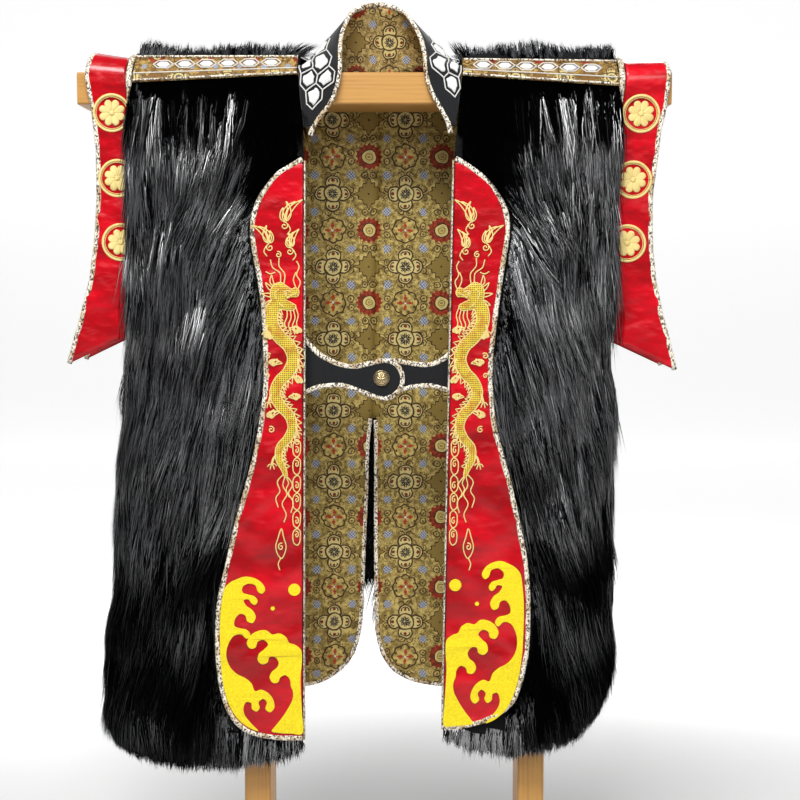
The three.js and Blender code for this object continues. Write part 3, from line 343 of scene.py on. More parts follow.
def brocade(name, across, up, x_start, z_start, cell=CELL, dull=(0.24, 0.165, 0.038),
            bright=(0.60, 0.46, 0.145)):
    """Silk whose pattern runs along two axes of the frame, given as 0, 1 or 2."""
    silk = Finish(name, Specular_IOR_Level=0.22)
    axes = silk.axes()
    u = (axes[across] / MM - x_start) / cell
    v = (axes[up] / MM - z_start) / cell
    wander = silk.axes(silk.noise(13, 2, out=1))
    u, v = u + (wander[0] - 0.5) * 0.11, v + (wander[1] - 0.5) * 0.11
    fu, fv = abs(u - u.rounded()), abs(v - v.rounded())
    odd_u, odd_v = u.rounded().modulo(2), v.rounded().modulo(2)
    r, turn = fu.length_with(fv), fv.angle_to(fu)
    far, near = fu.larger(fv), fu.smaller(fv)
    worn = silk.noise(2.6, 2)

    def line(value, width=0.031):
        return 1 - abs(value).between(width * 0.35, width * (0.7 + 0.7 * worn))

    def ball(along, radius, beside=0.0):
        return far.length_with(near) < radius if along == 0 else (
            (far - along).length_with(near - beside) < radius)

    def petals(count, depth, phase=0.0):
        return 1 + depth * (turn * count + phase).cos()

    gold = silk.noise(6, 3).between(0.35, 0.65).blend(dull, bright)

    # four-lobed medallion: a disc with a dark flower, a lobe on each side with its seed
    lobe = (far - 0.295).length_with(near)
    medallion = (lobe < 0.19).larger(r < 0.24)
    medallion_ink = (line(lobe - 0.19) * (r > 0.235)).larger(line(r - 0.235)).larger(
        line((far - 0.34).length_with(near * 0.7) - 0.08, 0.02) * (far > 0.31))
    seeds = ball(0.36, 0.045)
    flower = (r < petals(8, 0.22) * 0.145) * (abs((turn * 4).sin()) > 0.22) * (r > 0.025)
    # cross with ball ends in a ring of little hooks
    cross = ball(0.13, 0.05).larger(ball(0.195, 0.03)).larger((near < 0.016) * (far < 0.2))
    ring = petals(8, 0.05) * 0.335
    cross_ink = line(r - ring).larger(line(r - 0.27, 0.03) * ((turn * 8).cos() < -0.55))
    # rosette: two rows of rust petals round a gold eye
    rosette = (r < petals(16, 0.07) * 0.345) * (r > 0.17)
    rays = line((turn * 8).sin() * r, 0.03) * (r > 0.20) * (r < 0.34)
    rosette_ink = rays.larger(line(r - 0.185))
    eye = r < 0.175
    spiral = line(((r * 16 + turn / math.tau).modulo(1) - 0.5) * 0.12, 0.03) * (r < 0.14)
    # scalloped diamond with a pip
    edge = (fu + fv) / 1.15 - petals(12, 0.11) * 0.29
    diamond_ink = line(edge - 0.045).larger(r < 0.028)

    is_medallion = (1 - odd_u) * (1 - odd_v)
    is_cross = (1 - odd_u) * odd_v
    is_rosette = odd_u * odd_v
    is_diamond = odd_u * (1 - odd_v)
    # paired curls where neighbouring motifs meet, and leafy tendrils in the ground
    cu, cv = fu - 0.5, fv - 0.5
    side_u, side_v = cu.length_with(fv - 0.115), cv.length_with(fu - 0.115)
    curls = line(side_u - 0.085, 0.019).larger(line(side_v - 0.085, 0.019)).larger(
        side_u.smaller(side_v) < 0.024)
    veins = silk.noise(5.5, 1.5)
    tendrils = line(veins - 0.47, 0.03).larger(line(veins - 0.60, 0.025)) * (r > 0.36)
    # bunches of pale blue dots at the corners
    corner = cu.length_with(cv)
    bunch = corner < (1 + 0.12 * (cv.angle_to(cu) * 6).cos()) * 0.112
    dots = ((u * 80).sin() * (v * 80).sin()) > 0.02

    colour = (tendrils * 0.8).blend(gold, INK)
    colour = (is_diamond * (edge < 0.02)).blend(colour, dull)
    colour = (is_medallion * medallion * 0.8).blend(colour, PALE)
    colour = (curls * (1 - bunch) * (1 - is_medallion)).blend(colour, INK)
    colour = (is_medallion * medallion_ink).larger(is_diamond * diamond_ink).blend(colour, INK)
    colour = (is_medallion * seeds).blend(colour, RUST)
    colour = (is_medallion * flower).blend(colour, NIGHT)
    colour = (is_cross * cross_ink).blend(colour, INK)
    colour = (is_cross * cross).blend(colour, RED)
    colour = (is_cross * (r < 0.03)).blend(colour, IVORY)
    rusty = silk.noise(4, 2).between(0.4, 0.6).blend(RUST, RED)
    colour = (is_rosette * rosette).blend(colour, rusty)
    colour = (is_rosette * rosette_ink).blend(colour, INK)
    colour = (is_rosette * eye).blend(colour, bright)
    colour = (is_rosette * line(r - 0.15, 0.022)).blend(colour, PALE)
    colour = (is_rosette * spiral * 0.8).blend(colour, INK)
    colour = bunch.blend(colour, SLATE)
    colour = (bunch * dots).blend(colour, BLUE)
    weave = ((axes[across] + axes[up]) / MM * 4.4).sin() * 0.5 + 0.5
    colour = (weave * 0.22).blend(colour, SHADE)
    raised = curls.larger(is_medallion * medallion_ink).larger(is_cross * cross_ink)
    silk.uses(Base_Color=colour, Roughness=0.44 + 0.2 * weave)
    silk.bumped(weave * 0.35 + raised.larger(tendrils) * 0.4 + silk.noise(0.9, 1) * 0.4, 0.16, 0.6)
    return silk.material


LINING_SILK = brocade("brocade_lining", 0, 2, -5.4 - CELL, 954.0)
STRIP_SILK = brocade("brocade_strip", 0, 2, 0.0, 1092.0, 30.0, (0.20, 0.10, 0.022),
                     (0.50, 0.33, 0.10))
COLLAR_SILK = brocade("brocade_collar", 0, 2, 22.0, 1150.0, 44.0, (0.26, 0.18, 0.05),
                      (0.56, 0.42, 0.16))


# %% [markdown]
# ### Piping, wool, felt, thread and brass
# The ivory piping is cut from another brocade, small dark-brown marks on cream, so
# cut on the bias the marks slant. The collar and the tab are black felted wool, the
# waves a dense yellow felt, the embroidery a gold silk thread laid side by side,
# and the button is old brass, bright on its edges and dark in its hollows.

# %% Trims
def piping_finish():
    binding = Finish("ivory_piping", Specular_IOR_Level=0.4)
    flecks = binding.noise(2.5, 1.5, (1.15, 1.0, 0.8)).between(0.53, 0.565)
    spots = binding.start.node("ShaderNodeTexVoronoi", {"feature": "F1"},
                               {"Vector": binding.point(), "Scale": 1 / (2.9 * MM)})
    marks = flecks.larger(1 - spots.between(0.24, 0.31))
    cream = binding.noise(14, 2).between(0.36, 0.52).blend((0.58, 0.44, 0.27), (0.87, 0.80, 0.67))
    binding.uses(Base_Color=(marks * 0.93).blend(cream, (0.030, 0.014, 0.008)))
    x, y, z = binding.axes()
    twill = ((x + y + z) / MM * 6.5).sin() * 0.5 + 0.5
    binding.uses(Roughness=0.55 + 0.2 * twill)
    binding.bumped(twill * 0.5 + marks * 0.4, 0.2, 0.6)
    return binding.material


def felted(name, dark, light, nap_mm, rough=0.92, depth=0.35):
    cloth = Finish(name, Specular_IOR_Level=0.25, Sheen_Weight=0.3, Sheen_Roughness=0.5)
    nap = cloth.noise(nap_mm, 4)
    cloth.uses(Base_Color=nap.between(0.3, 0.7).blend(dark, light))
    cloth.uses(Roughness=rough - 0.12 * nap)
    cloth.bumped(nap, depth, 0.8)
    return cloth.material


def thread(name, dark, light, metal=0.35, rough=0.38):
    silk = Finish(name, Metallic=metal, Specular_IOR_Level=0.55)
    x, y, z = silk.axes()
    stitch = ((x * 0.8 + z * 1.1 + y) / MM * 7.0).sin() * 0.5 + 0.5
    silk.uses(Base_Color=stitch.blend(dark, light), Roughness=rough + 0.15 * stitch)
    silk.bumped(stitch, 0.22, 0.8)
    return silk.material


def scale_stitch():
    """Yellow silk satin stitch, dotted with the dark gaps between rows of scales."""
    silk = Finish("scale_stitch", Specular_IOR_Level=0.5)
    x, _, z = silk.axes()
    wander = silk.noise(6, 2)
    across, up = x / MM * 1.25 + wander * 2, z / MM * 1.25 + wander * 2
    gaps = ((across + up).sin() * (across - up).sin()).between(0.08, 0.4)
    warm = silk.noise(11, 2).between(0.45, 0.65)
    colour = warm.blend((0.80, 0.60, 0.05), (0.70, 0.36, 0.025))
    colour = (gaps * 0.9).blend(colour, (0.10, 0.045, 0.008))
    silk.uses(Base_Color=colour, Roughness=0.45 + 0.1 * gaps)
    silk.bumped(1 - gaps, 0.3, 0.8)
    return silk.material


def old_brass():
    metal = Finish("antique_brass", Metallic=1.0)
    worn = metal.start.node("ShaderNodeNewGeometry", out="Pointiness").between(0.47, 0.53)
    patina = metal.noise(2.6, 3).between(0.4, 0.75)
    colour = worn.blend((0.30, 0.22, 0.11), (0.88, 0.72, 0.42))
    metal.uses(Base_Color=(patina * 0.3).blend(colour, (0.10, 0.07, 0.035)))
    metal.uses(Roughness=0.26 + 0.25 * patina)
    return metal.material


PIPED = piping_finish()
WOOL = felted("black_wool", (0.002, 0.0024, 0.003), (0.0065, 0.0072, 0.009), 1.1)
WHITE_FELT = felted("white_felt", (0.60, 0.60, 0.58), (0.83, 0.83, 0.81), 1.4)
YELLOW_FELT = felted("yellow_felt", (0.80, 0.60, 0.004), (0.93, 0.76, 0.012), 2.0, 0.8, 0.2)
WHITE_CORD = thread("white_cord", (0.60, 0.59, 0.56), (0.86, 0.85, 0.82), 0.0, 0.6)
GOLD = thread("gold_thread", (0.74, 0.50, 0.10), (1.0, 0.86, 0.40), 0.1)
SCALES = scale_stitch()
BRASS = old_brass()
print("finishes:", len(bpy.data.materials))

# %% [markdown]
# ## The pattern
# A tailor keeps a pattern: half widths at given heights, for each side, because a
# coat that hangs on a stand is never quite even. Distances are in millimetres from
# the middle plane. The same tables place the solids of the frame, so what we cut
# from them meets the frame without any fitting.

# %% Measures of the cloth
INSIDE = 46.3  # inner face of the coat beside the beam
FLARE = 13.7  # how far the inner face swings out at the hem
FLARE_FROM = 1000.0  # the height it starts from
FLARE_DROP = 770.0
TURN = 58  # how far from the side's edge the coat starts to turn to the back
PILE = 23.0  # how far the fur stands out
BED = 9.0  # what is left of that under a lapel
SEAM = 0.35  # room between two layers
LEATHER = 2.0
PIPING = 6.6
PIPING_THICK = 4.0
BEAM_TOP = 1100.0
SHOULDER = 1062  # where the sloping shoulder ends and the panels hang
VENT_TOP = 656
BOUND_BELOW = 303  # under this height the hem of the back is bound
STRIP_PITCH = 27.0

SIDES = {
    "left": {
        "sign": -1,
        "fold": [[1125, 98.3], [1085, 98], [1060, 96], [1035, 93], [1012, 91.3], [992, 90.9],
                 [300, 94.5], [200, 94.5]],
        "lapel": [[91.5, 993], [106, 986.5], [123.7, 975.7], [140, 957], [151.1, 938],
                  [156.8, 918], [158.1, 898], [155.5, 876], [150.2, 847], [145.2, 811],
                  [142.7, 761], [142.2, 710], [146.9, 670], [153.9, 630], [164.5, 588],
                  [178.4, 539], [191.2, 485], [203.3, 430], [205.9, 391], [205, 356],
                  [200.5, 320], [193.8, 296], [184.2, 278], [168.5, 264], [148.9, 257],
                  [125.3, 253.5], [95, 253]],
        "edge": [[1125, 303.5], [1075, 303.5], [878, 303.5], [815, 303.5], [751, 304],
                 [674, 310.6], [557, 317.5], [426, 327.5], [294, 336], [200, 332]],
        "hem": [[90, 243], [124, 229], [175, 219], [201, 214], [240, 218], [291, 223], [335, 236],
                [370, 250]],
        "strip_low": [[-51.5, 1096], [-60, 1085]],
        "strip_high": [[-28, 1120], [-28, 1120]],
        "sleeve_out": [[1126, 359], [1095, 364], [1053, 357], [1003, 352.2], [941, 351.9],
                       [891, 355.3], [840, 362.4], [790, 375.9], [735, 392]],
        "sleeve_in": [[1130, 311.8], [851, 311.8], [840, 318.5], [825, 322.5], [800, 325],
                      [766, 324]],
        "sleeve_hem": (766, 735),
        "sleeve_top": ([[-52, 1080], [-50, 1100], [-40, 1112], [-20, 1118], [0, 1120]],
                       [[-51, 1080], [-50, 1102], [-41, 1116], [-20, 1124], [0, 1127]]),
        "vent": [[-7.1, 655], [-10.9, 616], [-12.9, 552], [-16.4, 474], [-18.3, 422],
                 [-20.4, 383], [-24.3, 357], [-33.6, 330.5], [-51.6, 309], [-68.5, 297],
                 [-91, 289], [-130, 286.5], [-245, 286]],
        "waves": ((0, 0, 1), (0, 0, 1)),
        "dots": [[10.5, 448, 7.8], [38, 424, 2.7]],
        "crests": [[330.6, 1049], [324.9, 968], [321.7, 888]],
        "strip_start": 33.0,
        "armhole_drop": 0.0,
    },
    "right": {
        "sign": 1,
        "fold": [[1125, 108.3], [1085, 108], [1060, 106], [1035, 102.5], [1012, 99.6], [992, 98.6],
                 [300, 86], [200, 86]],
        "lapel": [[99.2, 994], [119.3, 983.7], [138.2, 969], [151.9, 954], [162.7, 935],
                  [167.6, 914], [167.1, 892], [162.9, 865], [157, 825], [151.4, 780],
                  [147.2, 737], [147.4, 700], [152, 658], [159.8, 626], [171, 586], [182.5, 535],
                  [191, 492], [195.8, 445], [196.2, 410], [194.5, 370], [190.6, 345],
                  [184.6, 322], [176.9, 303], [162.2, 288], [138.8, 276], [112.2, 269],
                  [85.5, 266]],
        "edge": [[1125, 304], [1075, 302], [1042, 298], [1004, 293], [878, 291.5], [815, 291],
                 [751, 287], [426, 287], [294, 282], [200, 278]],
        "hem": [[80, 258], [120, 243], [158, 235], [197, 236], [235, 246], [270, 262], [290, 277],
                [310, 290]],
        "strip_low": [[-52, 1094.5], [-61, 1080.5]],
        "strip_high": [[-28, 1116.5], [-28, 1114.5]],
        "sleeve_out": [[1116, 366], [1098, 369], [1049, 363.4], [1030, 358.3], [995, 354.6],
                       [948, 348.4], [907, 348.3], [879, 349.3], [838, 353.7], [796, 362.9],
                       [754, 374.7], [727, 381]],
        "sleeve_in": [[1130, 313.2], [1075, 311.2], [1042, 306.3], [1004, 301.3], [878, 299.8],
                      [851, 299.6], [840, 305.5], [825, 309.5], [800, 312.5], [757, 311]],
        "sleeve_hem": (758, 727),
        "sleeve_top": ([[-52, 1078], [-50.5, 1097], [-40, 1108], [-20, 1113], [0, 1115]],
                       [[-51, 1078], [-50.5, 1097], [-40, 1109], [-20, 1114], [0, 1116]]),
        "vent": [[-5.3, 653], [-4.8, 616], [-5.3, 500], [-4.2, 383], [-2.4, 357], [5.4, 330.5],
                 [18.2, 311.5], [36.4, 299], [62.3, 291], [88.3, 288], [130, 286.5], [218, 286]],
        "waves": ((10, 19.5, 0.945), (10, 15, 0.955)),
        "dots": [[11.5, 454, 7.8], [39.5, 430, 2.7]],
        "crests": [[331.8, 1048], [322.8, 966], [316.2, 886.5]],
        "strip_start": 26.0,
        "armhole_drop": 3.5,
    },
}
BACK_SEAM = [[1100, 3.5], [1080, 3], [655, -6]]
print("lines in the pattern of a side:", len(SIDES["left"]))


# %% [markdown]
# ## Small tools for cutting and sewing
# Everything is made from rows of points. A wall is two such grids closed at the rim,
# a bead is a rounded strip along a path, and a spline puts enough points between the
# knots of a pattern line for it to look drawn by hand and not by ruler.

# %% Lines
def at(rows, height):
    """Value of a table of height and value at a height; the table runs downwards."""
    rows = np.asarray(rows, float)
    return np.interp(-np.asarray(height, float), -rows[:, 0], rows[:, 1])


def smooth(t):
    t = np.clip(t, 0.0, 1.0)
    return t * t * (3 - 2 * t)


def mix(a, b, t):
    return a + (b - a) * t


def unit(vectors):
    vectors = np.asarray(vectors, float)
    return vectors / np.maximum(np.linalg.norm(vectors, axis=-1, keepdims=True), 1e-9)


def offset(line, d):
    """A flat line moved sideways by d, to the left of its direction."""
    line = np.asarray(line, float)
    along = unit(np.vstack([line[1:], line[-1:]]) - np.vstack([line[:1], line[:-1]]))
    return line + d * np.stack([-along[:, 1], along[:, 0]], 1)


def spline(knots, step, closed=False):
    """A smooth line through the knots, with points about a step apart."""
    knots = np.asarray(knots, float)
    if closed:
        line = np.vstack([knots[-1:], knots, knots[:2]])
    else:
        line = np.vstack([2 * knots[:1] - knots[1:2], knots, 2 * knots[-1:] - knots[-2:-1]])
    points = []
    for a, b, c, d in zip(line[:-3], line[1:-2], line[2:-1], line[3:]):
        t1 = np.linalg.norm(b - a) ** 0.5 + 1e-9
        t2 = t1 + np.linalg.norm(c - b) ** 0.5 + 1e-9
        t3 = t2 + np.linalg.norm(d - c) ** 0.5 + 1e-9
        count = max(1, round(np.linalg.norm(c - b) / step))
        for t in np.linspace(t1, t2, count, endpoint=False):
            ab = mix(a, b, t / t1)
            bc = mix(b, c, (t - t1) / (t2 - t1))
            cd = mix(c, d, (t - t2) / (t3 - t2))
            points.append(mix(mix(ab, bc, t / t2), mix(bc, cd, (t - t1) / (t3 - t1)),
                              (t - t1) / (t2 - t1)))
    if not closed:
        points.append(knots[-1])
    return np.array(points)


# %% [markdown]
# The solid shapes come next. Each returns its points and the corners of its faces, and
# the last function makes a piece of them. A face whose corners run the wrong way would
# look into the shape, so we turn it by the sign of the volume that the faces enclose.

# %% Meshes
def volume(points, faces):
    total = 0.0
    for k in range(1, faces.shape[1] - 1):
        a, b, c = points[faces[:, 0]], points[faces[:, k]], points[faces[:, k + 1]]
        total += np.einsum("ij,ij->i", a, np.cross(b, c)).sum()
    return total


def outward(points, faces):
    """The faces of a closed shape, turned so that they look out of it."""
    return faces if volume(points - points.mean(0), faces) > 0 else faces[:, ::-1]


def capped(rings, top, under):
    """A stack of rings closed by a point on each end, as points and quads."""
    rings = np.asarray(rings)
    layers, count = rings.shape[:2]
    ids = np.arange(layers * count).reshape(layers, count)
    after = np.roll(ids, -1, 1)
    quads = np.stack([ids[:-1], after[:-1], after[1:], ids[1:]], -1).reshape(-1, 4)
    points = np.vstack([rings.reshape(-1, 3), top, under])
    last, first = len(points) - 2, len(points) - 1
    caps = [[ids[-1, k], after[-1, k], last, last] for k in range(count)]
    caps += [[after[0, k], ids[0, k], first, first] for k in range(count)]
    return points, outward(points, np.vstack([quads, caps]))


def wall(outer, inner):
    """Points, quads and how many of those are on the two big faces."""
    rows, cols = outer.shape[:2]
    ids = np.arange(rows * cols).reshape(rows, cols)
    a, b, c, d = (ids[:-1, :-1], ids[:-1, 1:], ids[1:, 1:], ids[1:, :-1])
    front = np.stack([a, b, c, d], -1).reshape(-1, 4)
    half = rows * cols
    rim = np.concatenate([ids[0, :-1], ids[:-1, -1], ids[-1, :0:-1], ids[:0:-1, 0]])
    after = np.roll(rim, -1)
    edge = np.stack([rim, half + rim, half + after, after], 1)
    faces = np.vstack([front, half + front[:, ::-1], edge])
    points = np.vstack([outer.reshape(-1, 3), inner.reshape(-1, 3)])
    return points, outward(points, faces), 2 * len(front)


def bead(path, normals, width, thick, sides=12, taper=None):
    """A closed strip of oval section along a path; normals say which way it bulges."""
    path, normals = np.asarray(path, float), unit(normals)
    along = unit(np.gradient(path, axis=0))
    side = unit(np.cross(along, normals))
    up = np.cross(side, along)
    turn = math.tau * (np.arange(sides) + 0.5) / sides
    grow = np.ones(len(path)) if taper is None else np.asarray(taper)
    wide = (side * (grow * width / 2)[:, None])[:, None, :] * np.cos(turn)[None, :, None]
    high = (up * (grow * thick / 2)[:, None])[:, None, :] * np.sin(turn)[None, :, None]
    return capped(path[:, None, :] + wide + high, path[-1], path[0])


def joined(parts):
    """Several pairs of points and quads as one."""
    points, faces, count = [], [], 0
    for part in parts:
        points.append(part[0])
        faces.append(part[1] + count)
        count += len(part[0])
    return np.vstack(points), np.vstack(faces)


def tidy(face):
    """A quad whose last two corners are one point is a triangle."""
    seen = []
    for corner in face:
        if corner not in seen:
            seen.append(corner)
    return seen


def shown(name, data):
    """An object of the scene with this data."""
    made = bpy.data.objects.new(name, data)
    bpy.context.scene.collection.objects.link(made)
    return made


def carried(name, mesh, slot, stands_for=()):
    """A shown mesh that rides on the whole part."""
    made = shown(name, mesh)
    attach(made, "root")
    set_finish(made, slot)
    if stands_for:
        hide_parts(*stands_for)
    return made


def piece(name, points, faces, finish, slot, stands_for=(), flat_from=None, second=None):
    """A piece of the part from points in millimetres and lists of their numbers."""
    moved = (np.asarray(points, float) + (SHIFT, 0, 0)) * MM
    corners = faces.tolist() if isinstance(faces, np.ndarray) else faces
    mesh = bpy.data.meshes.new(name)
    mesh.from_pydata(moved.tolist(), [], [tidy(f) for f in corners])
    mesh.materials.append(finish)
    shade = np.ones(len(mesh.polygons), bool)
    if flat_from is not None:
        shade[flat_from:] = False
    mesh.polygons.foreach_set("use_smooth", shade)
    if second is not None:
        mesh.materials.append(second[0])
        mesh.polygons.foreach_set("material_index", second[1].astype(np.int32))
    return carried(name, mesh, slot, stands_for)


def flat_area(made):
    """Half of a thin closed piece's surface, in square metres: its one-sided area."""
    return sum(p.area for p in made.data.polygons) / 2


# %% [markdown]
# ## The body of the coat
# The solids of the frame reach as far as the fur does. Under the fur there is a hide,
# and we need it for two reasons: the hairs grow from it, and it stops the eye between
# them. A horizontal section gives both lines: the inner face of the coat and the
# outer face of the fur. The hide's own face lies part of the way between the two.

# %% One section of the coat
ROUND_STOPS = (0, 0.34, 0.68, 0.93, 1)  # where the columns lie round the side
FLAT_STOPS = (0, 0.3, 0.65)


def inside_y(z):
    return -INSIDE - FLARE * np.maximum(0.0, FLARE_FROM - z) / FLARE_DROP


def swell(x, z):
    """The lock-like swell of the fur."""
    return 2.2 * np.sin(x * 0.061 + z * 0.021) + 1.6 * np.sin(z * 0.047 - x * 0.083)


def pile_at(z):
    """The fur stands out less at the hem."""
    return PILE * mix(0.75, 1, float(smooth((z - 215) / 40)))


def section(side, z, flat, bed):
    """Inner and outer points of a section: flat columns, then some round the side."""
    y0 = float(inside_y(z)) - bed
    wrapped = float(smooth((850 - z) / 105) * (1 - 0.16 * smooth((400 - z) / 120)))
    edge = float(at(side["edge"], z))
    start = edge - TURN

    def bend(t):
        turn = t * math.pi / 2
        x = start + (edge - start) * mix(t, math.sin(turn), wrapped)
        y = mix(y0, -0.15 + (y0 + 0.15) * math.cos(turn), wrapped)
        return np.array([x, y])

    inner = [np.array([x, y0]) for x, _ in flat]
    outer = [np.array([x, y0 - thick]) for x, thick in flat]
    hang = float((1 - wrapped) * smooth((1092 - z) / 25))
    over = [np.array([edge + 9, y0 - 16]), np.array([edge + 0.6, y0 - 9.5])]
    fur = pile_at(z)
    for i, t in enumerate(ROUND_STOPS):
        p = bend(t)
        a, b = bend(max(0, t - 0.02)), bend(min(1, t + 0.02))
        n = np.array([b[1] - a[1], a[0] - b[0]]) / np.linalg.norm(b - a)
        if t == 1 and wrapped > 0.5:
            n[1] = 0
        thick = fur + (float(swell(p[0], z)) if i < 3 else 0)
        thick *= mix(0.75, 0.94, wrapped) if i == 4 else 1
        q = p + n * thick
        if t == 1:
            q[1] = min(q[1], p[1])
        if i > 2:
            q = mix(q, over[i - 3], hang)
        inner.append(p)
        outer.append(q)
    return inner, outer


def hem_at(side, x):
    hem = np.asarray(side["hem"], float)
    return np.interp(x, hem[:, 0], hem[:, 1])


def hung(side, point, z, raised):
    """A point of the front moved to its height above the hem, on the sloping face."""
    x, y = point
    height = z if z >= 300 else mix(300, float(hem_at(side, x)) + raised, (300 - z) / 80)
    share = min(1.0, y / float(inside_y(z)))
    return [x, y + float(inside_y(height) - inside_y(z)) * share, height]


# %% [markdown]
# The front panel runs from the shoulder strip down to the hem. Its rows are close
# together where the lapel turns, because the fur is pressed flat under the lapel and
# stands up right beside it.

# %% The front's two faces
FRONT_ROWS = [1062, 1036, 1012, 994, 984, 972, 957, 938, 918, 896, 868, 842, 811, 778, 745, 705,
              668, 630, 588, 539, 485, 430, 391, 356, 320, 296, 278, 264, 253, 237, 220]
LAPEL_COLUMNS = 2  # how many columns of a front lie under the lapel


def lapel_edge(side, z):
    """How far out the lapel reaches at a height, or the fold above it."""
    fold = float(at(side["fold"], z))
    outline = np.asarray(side["lapel"], float)
    if z > outline[0, 1]:
        return fold + 10
    rows = np.vstack([[outline[0, 1], fold], outline[1:-3, ::-1]])
    return max(fold + 10, float(at(rows, z)))


def front_flat(side, z):
    fold, lap = float(at(side["fold"], z)), lapel_edge(side, z)
    start = float(at(side["edge"], z)) - TURN
    past = 12.0 if z > side["lapel"][0][1] + 15 else BED

    def soft(x):
        return pile_at(z) + float(swell(x, z))

    columns = [(fold, past), ((fold + lap + 3) / 2, past), (lap + 3, past),
               (lap + 14, soft(lap + 14) * 0.9)]
    for t in (0.3, 0.6):
        x = mix(lap + 14, start, t)
        columns.append((x, soft(x)))
    return columns


def shoulder_rows(side, columns):
    columns = np.asarray(columns, float)
    reach = ((columns - columns[0]) / (columns[-1] - columns[0]))[:, None]
    low = mix(*(np.array(p, float) for p in side["strip_low"]), reach)
    high = mix(*(np.array(p, float) for p in side["strip_high"]), reach)
    middle = (low + high) / 2 + (-0.8, 0.8)
    return [np.column_stack([columns, row]) for row in (high, middle, low)]


def front_faces(side, raised=0.0):
    """Grids of the inner and the outer face of a front, rows down and columns out."""
    top, _ = section(side, SHOULDER, front_flat(side, SHOULDER), 0)
    columns = [float(at(side["fold"], 1085))] + [p[0] for p in top[1:]]
    columns[-1] = float(at(side["edge"], 1100))
    columns[-2] = mix(columns[-3], columns[-1], 0.8)
    outer = shoulder_rows(side, columns)
    inner = [[[x, y, z] for x in columns] for y, z in
             ((-28, BEAM_TOP + 0.3), (-INSIDE, BEAM_TOP + 0.3), (-INSIDE, 1084))]
    for z in FRONT_ROWS:
        a, b = section(side, z, front_flat(side, z), 0)
        inner.append([hung(side, p, z, raised) for p in a])
        outer.append([hung(side, p, z, raised) for p in b])
    flip = (side["sign"], 1, 1)
    return np.array(inner) * flip, np.array(outer) * flip


# %% [markdown]
# The back starts at the neck behind the beam, goes over the beam's top and hangs from
# there. Its middle edge follows the seam down to the vent, and then the vent's own line.

# %% The back's two faces
BACK_ROWS = [1062, 1042, 1004, 940, 878, 850, 815, 780, 745, 705, 656.3, 655.6, 616, 552, 484,
             425, 390, 357, 334, 315, 303, 293.5]
BACK_TOP = [((-27.5, 1100.3), (-27.5, 1123), 98.3, 0.9), ((-12, 1100.3), (-13, 1137), 98.3, 0.85),
            ((12, 1100.3), (12, 1141), 98.3, 0.8), ((34, 1100.3), (40, 1133), 97, 0.7),
            ((47.6, 1100.3), (62, 1112), 84, 0.42), ((47.6, 1094), (68, 1098), 50, 0.42),
            ((47.6, 1084), (70, 1086), 0, 0.42)]
HIDE_INSET = 7  # how far the hide of the back stops short of the vent


def vent_line(side, inset):
    line = np.asarray(side["vent"], float) * (side["sign"], 1)
    return offset(line, inset)


def back_start(side, z, inset):
    if z > VENT_TOP:
        return side["sign"] * float(at(BACK_SEAM, z)) + 0.15
    line = vent_line(side, inset)
    keep = [line[0]]
    for point in line[1:]:
        if point[1] < keep[-1][1]:
            keep.append(point)
    return float(at(np.array(keep)[:, ::-1], z))


def bound(side, x, z, inset=PIPING + SEAM):
    """Height of a point of the back once the hem is bound."""
    if z > BOUND_BELOW:
        return z
    line = vent_line(side, inset)
    line = line[line[:, 1] < BOUND_BELOW]
    return max(z, float(np.interp(x, line[:, 0], line[:, 1])))


def back_faces(side):
    outer, inner = [], []
    edge = float(at(side["edge"], 1100))
    shift = 10 if side["sign"] > 0 else 0
    for (yi, zi), (yo, zo), neck, near in BACK_TOP:
        first = neck + shift if neck > 0 else back_start(side, 1084, 0)
        stops = [mix(first, edge - TURN, t) for t in FLAT_STOPS]
        stops += [edge - TURN + TURN * t for t in ROUND_STOPS]
        inner.append([[x, yi, zi] for x in stops])
        outer.append([[x, yi + (yo - yi) * (0.75 if i == 0 else 1),
                       zi + (zo - zi) * (near if i == 0 else 1) * (0.8 if i == 7 else 1)]
                      for i, x in enumerate(stops)])
    for z in BACK_ROWS:
        first, start = back_start(side, z, HIDE_INSET), float(at(side["edge"], z)) - TURN
        thin = 1 - 0.45 * float(smooth((330 - z) / 40))
        flat = [(x, (PILE + float(swell(x, z))) * (0.72 if i == 0 else 1) * thin)
                for i, x in enumerate(mix(first, start, t) for t in FLAT_STOPS)]
        for face, row in zip((inner, outer), section(side, z, flat, 1.3)):
            last = len(row) - 1
            face.append([[p[0], max(0.15, -p[1]) if i == last else -p[1],
                          bound(side, p[0], z)] for i, p in enumerate(row)])
    flip = (side["sign"], 1, 1)
    return np.array(inner) * flip, np.array(outer) * flip


# %% [markdown]
# The hide is a closed wall from the inner face to a little over half of the pile.
# Its rim at the hem stops short, so that only hair hangs over the edge. Inside, the
# front is lined with the brocade, so the wall carries two finishes.

# %% Hide
HIDE_DEPTH = 0.5  # how far out the hide lies, of the way to the tips
DEPTH_UNDER_STRIP, DEPTH_UNDER_LAPEL, DEPTH_OVER_BEAM = 0.9, 0.97, 0.78
HIDE_SHORT = 20.0  # mm that the hair hangs past the hide at the hem


def finer(grid, times=3):
    """The same grid with straight steps put in between its rows and columns."""
    for axis in (0, 1):
        count = grid.shape[axis]
        spots = np.linspace(0, count - 1, (count - 1) * times + 1)
        low = np.minimum(spots.astype(int), count - 2)
        t = (spots - low).reshape([-1 if k == axis else 1 for k in range(3)])
        grid = mix(np.take(grid, low, axis), np.take(grid, low + 1, axis), t)
    return grid


